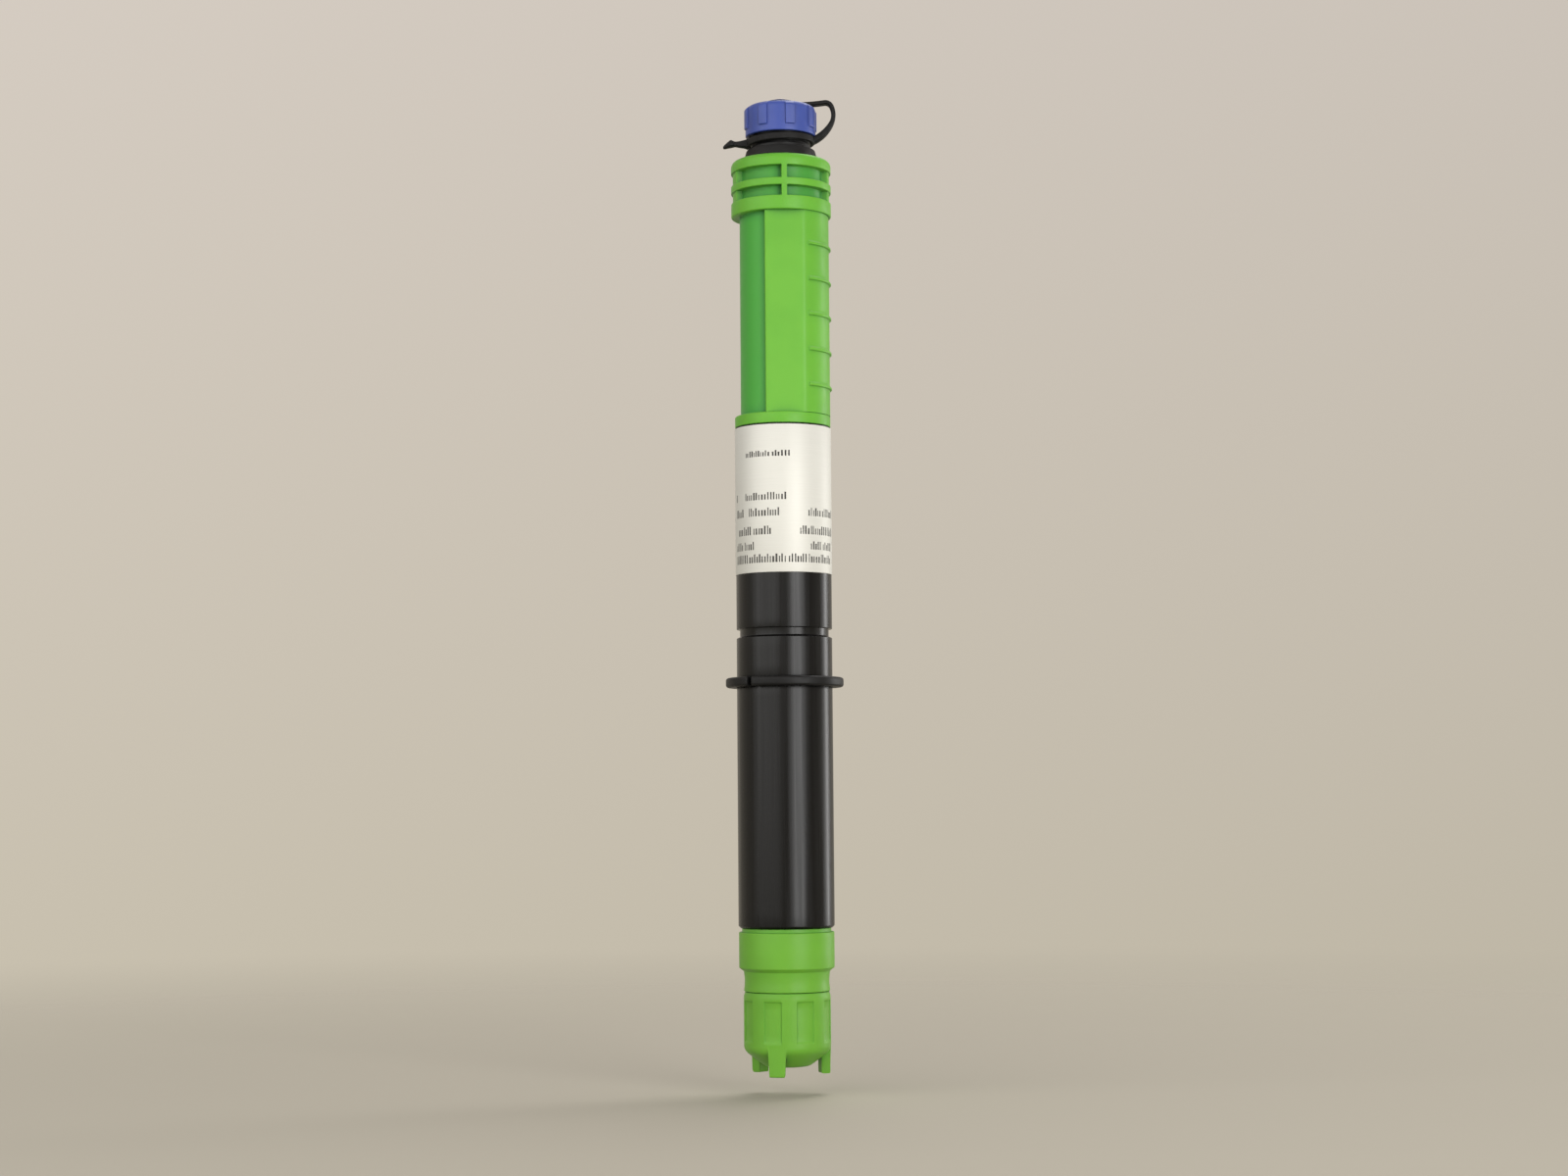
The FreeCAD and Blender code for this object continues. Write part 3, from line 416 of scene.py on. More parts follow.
def groundMetal(name, code, roughness, grit):
    # Electrode and contact metals: polished, with fine grinding marks
    material, tree, shader, coords = startMaterial(name, {
        "Base Color": linear(code), "Metallic": 1.0})
    marks = addNode(tree, "ShaderNodeTexNoise", {"Scale": 1 / (grit * mm), "Detail": 4.0},
                    {"Vector": coords})
    wear = addNode(tree, "ShaderNodeMapRange", {
        "To Min": roughness - 0.05, "To Max": roughness + 0.1}, {"Value": marks.outputs["Fac"]})
    tree.links.new(wear.outputs[0], shader.inputs["Roughness"])
    return material


# FR-4: green solder mask over woven glass, drawn coarser than it is so that it shows
boardLook = dict(low="#1C6B3A", high="#23784A", gap="#17592F", roughness=0.35, ior=1.5,
                 weaveSize=1.11)


def boardLaminate():
    look = boardLook
    material, tree, shader, coords = startMaterial("fr4Green", {
        "Roughness": look["roughness"], "IOR": look["ior"]})
    weave = addNode(tree, "ShaderNodeTexBrick", {
        "Scale": 1 / (look["weaveSize"] * mm), "Color1": linear(look["low"]),
        "Color2": linear(look["high"]), "Mortar": linear(look["gap"])}, {"Vector": coords})
    tree.links.new(weave.outputs["Color"], shader.inputs["Base Color"])
    return material


pvcTube = linedSurface("pvcTubeBlack")
foil = linedSurface("foilSilver")
ink = screenInk()
gold = groundMetal("goldPlate", "#D9A441", 0.22, 0.2)  # warm and bright
silver = groundMetal("silverChloride", "#8E8A84", 0.45, 0.15)  # greyed by its chloride
steel = groundMetal("steelSheath", "#A7A8A6", 0.3, 0.2)  # drawn sheath, cool grey
fr4 = boardLaminate()
print("materials made")

cadFinishes = [
    (plastics["epdmBlack"], ["connector_gasket", "cap_gasket", "grip_o_ring", "head_o_ring",
                             "membrane_cap_o_ring"]),
    (plastics["paNatural"], ["connector_insert", "electrode_finger", "board_spacer_lower",
                             "board_spacer_upper", "electrode_plug", "connector_plug",
                             "membrane_retainer"]),
    (plastics["paBlack"], ["connector_nut"]),
    (plastics["pvcRed"], ["connector_leads", "signal_leads"]),
    (plastics["epoxyBlack"], ["board_components"]),
    (plastics["ptfeWhite"], ["membrane"]),
    (gold, ["contact_pins", "working_electrode"]),
    (silver, ["counter_electrode"]),
    (steel, ["thermistor"]),
    (fr4, ["circuit_board"]),
]
for finish, names in cadFinishes:
    for name in names:
        for slot in nodes[name].material_slots:
            slot.material = finish
        if not nodes[name].material_slots:
            nodes[name].data.materials.append(finish)


# Body tube, with its ring seat and its spare groove
tube = dict(
    radius=12.5, bore=9.9, low=nodeLow("body_tube"), top=nodeTop("body_tube"),
    chamfer=0.6, edge=0.12, ringSeat=1.2, ringStep=0.1, ringTop=nodeTop("clamp_ring"),
    grooveLow=12.8, grooveTop=15.2, grooveDepth=0.9, rowStep=4)


def makeBodyTube():
    out, low, top = tube["radius"], tube["low"], tube["top"]
    seat, floor = out - tube["ringSeat"], out - tube["grooveDepth"]
    corners = [
        (tube["bore"], low, 0.2), (out - tube["chamfer"], low, 0.15),
        (out, low + tube["chamfer"], 0.3), (out, tube["ringStep"], 0.03),
        (seat, tube["ringStep"], 0.1), (seat, tube["ringTop"], 0.1),
        (out, tube["ringTop"], tube["edge"]), (out, tube["grooveLow"], 0.15),
        (floor, tube["grooveLow"] + tube["grooveDepth"] / 2, 0.2),
        (floor, tube["grooveTop"], 0.12), (out, tube["grooveTop"], tube["edge"]),
        (out, top, 0.3), (tube["bore"], top, 0.2)]
    rowCount = int((top - low) / tube["rowStep"])
    levels = [low + tube["rowStep"] * (i + 1) for i in range(rowCount)]
    piece = turnedPiece("tubeBody", corners, levels=levels, steps=4)
    ridePiece(piece, "sensor_body", pvcTube, ["body_tube"])


# Split clamp ring
ring = dict(
    inner=11.3, outer=15.4, low=nodeLow("clamp_ring"), top=nodeTop("clamp_ring"),
    edge=0.1, rounding=0.7, gap=1.3, gapTurn=-37, steps=150, endShrink=0.93, endRun=0.6)


def makeClampRing():
    inner, outer, low, top = ring["inner"], ring["outer"], ring["low"], ring["top"]
    section = softOutline([
        (inner, low, ring["edge"]), (outer, low, ring["rounding"]),
        (outer, top, ring["rounding"]), (inner, top, ring["edge"])], steps=6)
    half = math.degrees(ring["gap"] / 2 / outer)
    middle = Vector(((inner + outer) / 2, (low + top) / 2))
    steps = ring["steps"]
    endRun = ring["endRun"] * half
    rows = []
    for i in range(steps + 1):
        turn = ring["gapTurn"] + half + (360 - 2 * half) * i / steps
        shrink = ring["endShrink"] if i in (0, steps) else 1.0
        row = []
        for x, z, _ in section:
            row.append(atTurn(middle.x + (x - middle.x) * shrink, turn,
                              middle.y + (z - middle.y) * shrink))
        rows.append(row)
        # A full section just inside each end rounds the cut faces off
        if i in (0, steps - 1):
            inside = turn + endRun if i == 0 else ring["gapTurn"] - half + 360 - endRun
            rows.append([atTurn(x, inside, z) for x, z, _ in section])
    piece = skinRows("ringSplit", rows, closedRows=False)
    ridePiece(piece, "sensor_body", plastics["paBlack"], ["clamp_ring"])


# Foil label and its print: rows of plain bars, no letters
label = dict(
    radius=12.5, lift=0.01, thickness=0.14, low=nodeLow("label"), top=nodeTop("label"),
    seam=0.8, steps=180, inkProud=0.012, inkDepth=0.008, seed=7,
    barWidth=(0.24, 0.5), barGap=(0.3, 0.5), barHeights=(1.0, 1.0, 0.72, 0.72), barStep=0.35)


def makeLabel():
    inner, outer = label["radius"] + label["lift"], label["radius"] + label["thickness"]
    low, top = label["low"], label["top"]
    half = math.degrees(label["seam"] / 2 / label["radius"])
    outline = softOutline([
        (inner, low, 0.02), (outer, low, 0.06), (outer, top, 0.06), (inner, top, 0.02)],
        steps=2)
    rows = []
    for i in range(label["steps"] + 1):
        turn = 180 + half + (360 - 2 * half) * i / label["steps"]
        rows.append([atTurn(x, turn, z) for x, z, _ in outline])
    piece = skinRows("labelFoil", rows, closedRows=False)
    ridePiece(piece, "sensor_body", foil, ["label"])


# Each print row: height above the label's foot, height of its bars, then words as
# (turn where the word starts, width in millimetres)
printRows = [
    dict(level=2.5, height=2.2, words=[
        (-72, 5.4), (-45, 3.4), (-27, 6.4), (6, 4.8), (31, 3.6), (50, 5.2)]),
    dict(level=5.9, height=2.1, words=[(-72, 3.4), (-53, 3.6), (34, 3.8), (54, 4.4)]),
    dict(level=9.8, height=2.2, words=[
        (-66, 1.8), (-54, 2.6), (-38, 5.4), (20, 5.4), (47, 3.0), (63, 3.4)]),
    dict(level=14.6, height=2.1, words=[(-72, 3.6), (-45, 3.4), (-27, 5.0), (31, 4.4), (53, 5.6)]),
    dict(level=18.8, height=1.9, words=[(-73, 0.8), (-51, 4.8), (-27, 6.6)]),
    dict(level=30.1, height=1.5, words=[(-50, 4.2), (-28, 2.6), (-13, 4.4)]),
]


def addBar(bm, turn, width, low, height, radius):
    steps = max(1, int(width / label["barStep"]))
    verts = []
    for k in range(steps + 1):
        angle = turn + math.degrees(width * k / steps / radius)
        verts.append((bm.verts.new(atTurn(radius, angle, low) * mm),
                      bm.verts.new(atTurn(radius, angle, low + height) * mm)))
    for (a, b), (c, d) in zip(verts, verts[1:]):
        bm.faces.new((a, c, d, b))


def makeLabelPrint():
    rng = random.Random(label["seed"])
    radius = label["radius"] + label["thickness"] + label["inkProud"]
    bm = bmesh.new()
    for row in printRows:
        low = label["low"] + row["level"]
        for start, width in row["words"]:
            place = 0.0
            while place < width:
                bar = rng.uniform(*label["barWidth"])
                height = row["height"] * rng.choice(label["barHeights"])
                turn = start + math.degrees(place / radius)
                addBar(bm, turn, bar, low, height, radius)
                place += bar + rng.uniform(*label["barGap"])
    piece = finishMesh("labelPrint", bm)
    thick = piece.modifiers.new("inkBody", "SOLIDIFY")
    thick.thickness = label["inkDepth"] * mm
    ridePiece(piece, "sensor_body", ink)


# Grip: inner body, proud gripping side with flat panels, finger ribs and windowed collar
grip = dict(
    turn=4, low=nodeLow("grip"), top=nodeTop("grip"), foot=nodeTop("body_tube"), zoneRise=2.9,
    radius=12.55, panel=11.45, recess=11.0, bore=9.2, throat=6.6, spigot=9.7, hole=6.1,
    topWall=3.5, floorRise=2.2, panelBlend=0.25, sideBlend=0.5, recessBlend=0.35,
    collarRadius=13.2, collarLow=124.3, collarEdge=0.35, shoulder=3.0,
    windows=[(127.9, 130.7), (132.6, 136.0)], windowFloor=11.15, windowWall=12.75,
    windowHalf=70, windowBlend=1.2, ribWidth=1.7, ribBlend=0.18,
    fingerFirst=78.1, fingerPitch=9.3, fingerCount=5, fingerHeight=1.2, fingerProud=0.5,
    fingerHalf=60.5, rowStep=2.5, rowCount=19,
    fingerFootRows=(-0.12, -0.04, 0.05, 0.14, 0.3), fingerTopRows=(0.45, 0.7, 0.85, 1.0, 1.15))


def gripCorners(zoneLow):
    low, foot, top = grip["low"], grip["foot"], grip["top"]
    radius, recess, collar = grip["radius"], grip["recess"], grip["collarRadius"]
    ceiling = top - grip["topWall"]
    corners = [
        (grip["throat"], low, 0.2), (grip["spigot"], low, 0.3), (grip["spigot"], foot, 0.1),
        (radius, foot, 0.25), (radius, zoneLow, 0.35), (recess, zoneLow, 0.5),
        (recess, grip["collarLow"], 0.25), (collar, grip["collarLow"], grip["collarEdge"])]
    firstWindow = len(corners) - 1
    for windowLow, windowTop in grip["windows"]:
        corners += [
            (collar, windowLow, 0.22), (grip["windowFloor"], windowLow, 0.35),
            (grip["windowFloor"], windowTop, 0.35), (collar, windowTop, 0.22)]
    lastWindow = len(corners)
    corners += [
        (collar, top, grip["shoulder"]), (grip["hole"], top, 0.3), (grip["hole"], ceiling, 0.1),
        (grip["bore"], ceiling, 0.3), (grip["bore"], zoneLow + grip["floorRise"], 0.5),
        (grip["throat"], zoneLow, 0.5)]
    return corners, firstWindow, lastWindow


def fingerLift(height, away, low):
    # A rib with a sharp foot and a soft top, faded out at its two ends
    soft, half = grip["fingerHeight"], grip["fingerHalf"]
    lift = ramp(height, low - 0.1, low + 0.12)
    lift *= 1 - ramp(height, low + soft * 0.4, low + soft * 1.1)
    lift *= 1 - ramp(away, half - 1.0, half + 0.6)
    return grip["fingerProud"] * lift


def makeGrip():
    zoneLow = grip["foot"] + grip["zoneRise"]
    side = math.sqrt(grip["radius"] ** 2 - grip["panel"] ** 2)
    panelHalf = math.degrees(math.atan2(side, grip["panel"]))
    stepTurn = math.degrees(math.asin(side / grip["recess"]))
    corners, firstWindow, lastWindow = gripCorners(zoneLow)
    fingerLows = [grip["fingerFirst"] + grip["fingerPitch"] * n for n in range(grip["fingerCount"])]
    levels = [zoneLow + grip["rowStep"] * (i + 1) for i in range(grip["rowCount"])]
    for low in fingerLows:
        levels += [low + rise for rise in grip["fingerFootRows"]]
        levels += [low + grip["fingerHeight"] * share for share in grip["fingerTopRows"]]

    def sideRadius(turn, height):
        # The gripping side: flat in front, a straight step to the recess, ribs on the right
        angle = math.radians(turn - grip["turn"])
        across, front = math.sin(angle), math.cos(angle)
        block = grip["panel"] / max(abs(front), 1e-3)
        block = softMin(block, grip["radius"], grip["panelBlend"])
        if across < 0:
            block = softMin(block, side / max(-across, 1e-3), grip["sideBlend"])
        away = turnGap(turn - grip["turn"], 90)
        if away < grip["fingerHalf"] + 1:
            for low in fingerLows:
                block += fingerLift(height, away, low)
        return block

    def radiusAt(turn, radius, height, corner):
        if 4 <= corner <= 6 and height > zoneLow - 0.01:
            radius = softMax(radius, sideRadius(turn, height), grip["recessBlend"])
        if firstWindow < corner < lastWindow:
            collar = grip["collarRadius"]
            fromPanel = min(turnGap(turn, grip["turn"]), turnGap(turn, grip["turn"] + 180))
            depth = (collar - radius) / (collar - grip["windowFloor"])
            shallow = collar - depth * (collar - grip["windowWall"])
            radius += (shallow - radius) * ramp(
                fromPanel, grip["windowHalf"] - grip["windowBlend"],
                grip["windowHalf"] + grip["windowBlend"])
            distance = math.radians(fromPanel) * collar
            rib = 1 - ramp(distance, grip["ribWidth"] / 2 - grip["ribBlend"],
                           grip["ribWidth"] / 2 + grip["ribBlend"])
            radius += (collar - radius) * rib
        return radius

    front, back, right = grip["turn"], grip["turn"] + 180, grip["turn"] + 90
    ribEdge = math.degrees(grip["ribWidth"] / 2 / grip["collarRadius"])
    stops = [front - stepTurn, back + stepTurn]
    stops += [front - (panelHalf + stepTurn) / 2, back + (panelHalf + stepTurn) / 2]
    for edge in (-1, 1):
        stops += [right + edge * grip["fingerHalf"]]
        for middle in (front, back):
            stops += [middle + edge * half for half in (panelHalf, ribEdge, grip["windowHalf"])]
    piece = turnedPiece("gripShell", corners, radiusAt, turnsWith(stops, 1.1), levels=levels)
    ridePiece(piece, "sensor_body", plastics["absGrip"], ["grip"])


# Connector: flange, threaded neck and open socket
connector = dict(
    low=nodeLow("connector_shell"), top=nodeTop("connector_shell"),
    flangeLow=nodeTop("connector_gasket"), flange=9.75, flangeTop=9.1, flangeHeight=2.4,
    neck=8.0, socket=6.4, stem=6.0, stemBore=4.9, floorRise=0.8,
    threadDepth=0.42, threadPitch=1.0, threadStart=0.7, threadEnd=0.4, threadFade=0.6,
    flats=6, flatDistance=9.15)


def makeConnector():
    flangeLow, top = connector["flangeLow"], connector["top"]
    flangeTop, floor = flangeLow + connector["flangeHeight"], flangeLow + connector["floorRise"]
    corners = [
        (connector["stemBore"], connector["low"], 0.1), (connector["stem"], connector["low"], 0.2),
        (connector["stem"], flangeLow, 0.1), (connector["flange"], flangeLow, 0.2),
        (connector["flangeTop"], flangeTop, 0.25), (connector["neck"], flangeTop, 0.2),
        (connector["neck"], top, 0.35), (connector["socket"], top, 0.15),
        (connector["socket"], floor, 0.2), (connector["stemBore"], floor, 0.1)]
    thread = dict(
        low=flangeTop + connector["threadStart"], top=top - connector["threadEnd"],
        pitch=connector["threadPitch"], depth=connector["threadDepth"],
        fade=connector["threadFade"])

    def radiusAt(turn, radius, height, corner):
        if corner in (5, 6):
            radius -= threadCut(turn, height, thread)
        if corner in (3, 4):
            pitch = 360 / connector["flats"]
            away = math.radians((turn + pitch / 2) % pitch - pitch / 2)
            radius = softMin(radius, connector["flatDistance"] / math.cos(away), 0.1)
        return radius

    levels = evenLevels(thread["low"], thread["top"], thread["pitch"] / 8)
    piece = turnedPiece("connectorShell", corners, radiusAt, levels=levels, steps=4)
    ridePiece(piece, "sensor_body", plastics["paBlack"], ["connector_shell"])


# Blue screw cap with raised ribs and the stud that holds the tether's eyelet
cap = dict(
    turn=15.7, low=nodeLow("screw_cap"), top=nodeTop("screw_cap"), radius=9.3, bore=8.2,
    ceiling=nodeTop("cap_gasket"), crown=nodeTop("cap_gasket") + 1.3, rounding=1.5,
    stud=2.0, studHead=2.6, studRise=1.35, ribProud=0.4, ribHalf=7.5, ribBlend=0.45,
    ribCount=8, ribRise=1.7, ribDrop=0.9, ribRows=(-0.1, 0, 0.1, 0.2, 0.4), skirtRow=0.7)


def makeScrewCap():
    crown, stud, pitch = cap["crown"], cap["stud"], 360 / cap["ribCount"]
    studTop = crown + cap["studRise"]
    corners = [
        (0, cap["ceiling"], 0), (cap["bore"], cap["ceiling"], 0.3), (cap["bore"], cap["low"], 0.2),
        (cap["radius"], cap["low"], 0.3), (cap["radius"], crown, cap["rounding"]),
        (stud, crown, 0.25), (stud, studTop, 0.1), (cap["studHead"], studTop, 0.15),
        (stud, cap["top"], 0.3), (0, cap["top"], 0)]
    ribLow, ribTop = cap["low"] + cap["ribRise"], crown - cap["ribDrop"]
    levels = [ribLow + rise for rise in cap["ribRows"]]
    levels += [cap["low"] + cap["skirtRow"], (ribLow + ribTop) / 2]

    def radiusAt(turn, radius, height, corner):
        if corner in (3, 4) and height > ribLow - 0.11:
            away = abs((turn - cap["turn"] + pitch / 2) % pitch - pitch / 2)
            rib = 1 - ramp(away, cap["ribHalf"] - cap["ribBlend"], cap["ribHalf"] + cap["ribBlend"])
            rib *= ramp(height, ribLow - 0.1, ribLow + 0.15)
            rib *= 1 - ramp(height, ribTop - 0.3, ribTop + 0.6)
            radius += cap["ribProud"] * rib
        return radius

    stops = []
    for n in range(cap["ribCount"]):
        stops += [cap["turn"] + pitch * n + edge * cap["ribHalf"] for edge in (-1, 1)]
    piece = turnedPiece("capScrew", corners, radiusAt, turnsWith(stops), closed=False,
                        levels=levels, steps=8)
    ridePiece(piece, "cap_turning", plastics["ppBlue"], ["screw_cap"])


# Electrode head: band, hollowed neck and the threaded nose inside the membrane cap
head = dict(
    top=nodeTop("electrode_head"), low=nodeLow("electrode_head"), tubeEnd=nodeLow("body_tube"),
    spigot=9.7, cavity=6.6, finger=3.0, shoulder=11.6, shoulderHeight=1.0,
    band=12.4, bandHeight=9.2, bandFall=0.9, neckHeight=5.15, neck=11.2, neckMiddle=10.9,
    neckHollow=12, nose=8.8, undercut=0.5, undercutTop=1.5, floorDepth=6.0,
    threadDepth=0.55, threadPitch=1.25, threadStart=0.1, threadEnd=1.9, threadFade=0.8,
    threadRows=0.2)


def makeHead():
    low, tubeEnd, nose = head["low"], head["tubeEnd"], head["nose"]
    shoulderLow = tubeEnd - head["shoulderHeight"]
    bandLow = shoulderLow - head["bandHeight"]
    neckTop = bandLow - head["bandFall"]
    neckLow = neckTop - head["neckHeight"]
    floor = tubeEnd - head["floorDepth"]
    middle = (neckTop + neckLow) / 2
    thread = dict(
        low=low + head["threadStart"], top=neckLow - head["threadEnd"],
        pitch=head["threadPitch"], depth=head["threadDepth"], fade=head["threadFade"])
    noseNeck = nose - head["undercut"]
    corners = [
        (head["cavity"], head["top"], 0.1), (head["cavity"], floor, 0.3),
        (head["finger"], floor, 0.1), (head["finger"], low, 0.1),
        (nose, low, 0.5), (nose, thread["top"], 0.2),
        (noseNeck, neckLow - head["undercutTop"], 0.1), (noseNeck, neckLow, 0.1),
        (head["neck"], neckLow, 0.2), (head["neckMiddle"], middle, head["neckHollow"]),
        (head["neck"], neckTop, 0.25), (head["band"], bandLow, 0.35),
        (head["band"], shoulderLow, 0.3), (head["shoulder"], shoulderLow, 0.15),
        (head["shoulder"], tubeEnd, 0.1), (head["spigot"], tubeEnd, 0.1),
        (head["spigot"], head["top"], 0.4)]

    def radiusAt(turn, radius, height, corner):
        return radius - threadCut(turn, height, thread) if corner in (4, 5) else radius

    levels = evenLevels(low + head["threadRows"], thread["top"], thread["pitch"] / 8)
    piece = turnedPiece("headElectrode", corners, radiusAt, levels=levels)
    ridePiece(piece, "sensor_body", plastics["absGreen"], ["electrode_head"])


# Membrane cap: fluted wall, domed end with an open window, and three legs
film = dict(
    turn=-14.5, top=nodeTop("membrane_cap"), legLow=nodeLow("membrane_cap"),
    membrane=nodeLow("membrane"), noseLow=nodeLow("electrode_head"),
    radius=11.27, mouth=10.25, mouthDepth=1.3, bore=9.0, boreDrop=0.15, chamber=7.6,
    chamberRise=3.6, chamberDrop=1.2, floor=6.4, floorRise=2.4, window=3.6, windowLip=1.0,
    rimInset=0.35, rimFall=1.2, domeRise=8.7, domeShoulder=2.35, domeInset=1.8, domeFall=3.85,
    knee=6.0, kneeRise=0.25, fluteDepth=0.3, fluteHalf=12.2, fluteBlend=0.45, fluteOffset=-5.5,
    fluteCount=8, fluteSetback=2.2, fluteLength=10.2, fluteTopRows=(0.15, 0.08, 0, -0.08, -0.15),
    fluteLowRows=(0.25, 0.12, 0.03), rowStep=1.6, rowCount=5, rowSetback=2,
    legCount=3, legDrop=2.0, legWidth=4.5, legBlend=0.22, legInner=8.8, legOuter=11.1,
    legRows=46, windowRows=14)


def resample(points, count):
    # Even steps along a line of (radius, height) points
    path = [Vector(p[:2]) for p in points]
    lengths = [0.0]
    for a, b in zip(path, path[1:]):
        lengths.append(lengths[-1] + (b - a).length)
    result = []
    k = 0
    for i in range(count):
        target = lengths[-1] * i / (count - 1)
        while k < len(path) - 2 and lengths[k + 1] < target:
            k += 1
        span = max(lengths[k + 1] - lengths[k], 1e-9)
        share = min(max((target - lengths[k]) / span, 0), 1)
        result.append(path[k] + (path[k + 1] - path[k]) * share)
    return result


def domeOutline(domeTop):
    # From the wall over the dome to the open window
    radius, window, end = film["radius"], film["window"], film["legLow"] + film["legDrop"]
    return softOutline([
        (radius, domeTop, 0), (radius, domeTop - film["domeShoulder"], 5.0),
        (radius - film["domeInset"], domeTop - film["domeFall"], 5.0),
        (film["knee"], end + film["kneeRise"], 2.5), (window + film["windowLip"], end, 0.6),
        (window, end, 0)], closed=False, steps=6)


def legOutline(domeTop, meet):
    # From the wall down over a leg and up its inner side to the dome
    radius, legLow, legInner = film["radius"], film["legLow"], film["legInner"]
    return softOutline([
        (radius, domeTop, 0), (radius - 0.1, domeTop - 1.2, 3.0), (film["legOuter"], legLow, 0.35),
        (legInner, legLow, 0.35), (legInner, meet, 0.5)], closed=False, steps=5)


def chamberOutline():
    # From the window up the inside, out over the mouth's rim
    radius, top, membrane = film["radius"], film["top"], film["membrane"]
    noseLow, mouthFloor = film["noseLow"], top - film["mouthDepth"]
    return softOutline([
        (film["window"], membrane, 0.05), (film["floor"], membrane, 0.1),
        (film["floor"], membrane + film["floorRise"], 0.2),
        (film["chamber"], membrane + film["chamberRise"], 0.3),
        (film["chamber"], noseLow - film["chamberDrop"], 0.3),
        (film["bore"], noseLow - film["boreDrop"], 0.2), (film["bore"], mouthFloor, 0.1),
        (film["mouth"], mouthFloor, 0.1), (film["mouth"], top, 0.1),
        (radius - film["rimInset"], top, 0.15), (radius, top - film["rimFall"], 1.5)],
        closed=False, steps=4)


def makeMembraneCap():
    fluteTop = film["top"] - film["fluteSetback"]
    fluteLow = fluteTop - film["fluteLength"]
    domeTop = film["legLow"] + film["domeRise"]
    dome = domeOutline(domeTop)
    meet = min(dome, key=lambda p: abs(p[0] - film["legInner"]))
    domeRim = [p for p in dome if p[0] >= film["legInner"] - 0.3]
    domeEnd = [p for p in dome if p[0] < film["legInner"] - 0.3]
    windowPath = resample(domeEnd, film["windowRows"])
    domePath = resample(domeRim, film["legRows"]) + windowPath
    legPath = resample(legOutline(domeTop, meet[1]), film["legRows"]) + windowPath

    flutePitch, legPitch = 360 / film["fluteCount"], 360 / film["legCount"]
    fluteFirst = film["turn"] + film["fluteOffset"]
    levels = [fluteTop + rise for rise in film["fluteTopRows"]]
    levels += [fluteTop - film["rowSetback"] - film["rowStep"] * i for i in range(film["rowCount"])]
    levels += [fluteLow + rise for rise in film["fluteLowRows"]]

    def fluteAt(turn, height):
        away = abs((turn - fluteFirst + flutePitch / 2) % flutePitch - flutePitch / 2)
        half, blend = film["fluteHalf"], film["fluteBlend"]
        share = 1 - ramp(away, half - blend, half + blend)
        share *= 1 - ramp(height, fluteTop - 0.15, fluteTop + 0.15)
        share *= ramp(height, fluteLow - 0.6, fluteLow + 0.4)
        return film["fluteDepth"] * share

    def legAt(turn):
        away = min(turnGap(turn, film["turn"] + legPitch * n) for n in range(film["legCount"]))
        distance = math.radians(away) * film["legOuter"]
        half, blend = film["legWidth"] / 2, film["legBlend"]
        return 1 - ramp(distance, half - blend, half + blend)

    legEdge = math.degrees(film["legWidth"] / 2 / film["legOuter"])
    stops = []
    for edge in (-1, 1):
        stops += [fluteFirst + flutePitch * n + edge * film["fluteHalf"]
                  for n in range(film["fluteCount"])]
        stops += [film["turn"] + legPitch * n + edge * legEdge for n in range(film["legCount"])]
    turns = turnsWith(stops, 0.8)

    rows = [[atTurn(x, turn, z) for turn in turns] for x, z, _ in chamberOutline()]
    for level in levels:
        rows.append([atTurn(film["radius"] - fluteAt(turn, level), turn, level) for turn in turns])
    for domePoint, legPoint in zip(domePath, legPath):
        row = []
        for turn in turns:
            point = domePoint.lerp(legPoint, legAt(turn))
            row.append(atTurn(point.x - fluteAt(turn, point.y), turn, point.y))
        rows.append(row)
    piece = skinRows("capMembrane", rows, closedRows=True, sharp=45)
    ridePiece(piece, "membrane_turning", plastics["absGreen"], ["membrane_cap"])


# Tether: neck ring, bent strap, eyelet and barbed tail, in one rubber moulding
tether = dict(
    inner=8.2, ringWall=0.85, ringHeight=1.8, tilt=2.5, ringDrop=1.4, width=3.0,
    thickness=1.2, rootThickness=1.9, rootFrom=2, rootTo=14, bendSteps=10, tailSteps=4,
    eyelet=4.2, eyeletHole=2.1, eyeletGap=0.05, voxel=0.11, soften=0.5, softenTimes=3,
    heading=25, bends=[(10.76, 35), (5.27, 55), (1.8, 73), (51.38, -8)],
    tail=[(-8.6, 0.0, 2.9, 2.6), (-9.5, 0.05, 2.2, 2.4), (-10.8, 0.0, 1.7, 2.2),
          (-12.0, 0.05, 1.35, 2.0), (-12.6, 0.1, 1.6, 2.6), (-13.2, 0.15, 1.9, 3.0),
          (-14.0, -0.2, 1.5, 2.6), (-14.9, -0.7, 0.95, 1.8), (-15.25, -0.85, 0.5, 1.0)])


def bentLine(start, heading, bends, steps):
    # Arcs that run into each other: (radius, sweep), a positive sweep to the left
    line = [Vector(start)]
    for radius, sweep in bends:
        side = math.copysign(radius, sweep)
        corner = line[-1]
        first = math.radians(heading)
        for k in range(1, steps + 1):
            turned = math.radians(heading + sweep * k / steps)
            line.append(corner + Vector((
                side * (math.sin(turned) - math.sin(first)),
                side * (math.cos(first) - math.cos(turned)))))
        heading += sweep
    return line


def smoothLine(points, steps):
    # Catmull-Rom through given points
    line = []
    for i in range(len(points) - 1):
        a, b, c, d = [Vector(points[max(0, min(len(points) - 1, i + k))]) for k in (-1, 0, 1, 2)]
        for k in range(steps):
            share = k / steps
            line.append(0.5 * (2 * b + (c - a) * share
                        + (2 * a - 5 * b + 4 * c - d) * share * share
                        + (3 * b - a - 3 * c + d) * share ** 3))
    line.append(Vector(points[-1]))
    return line


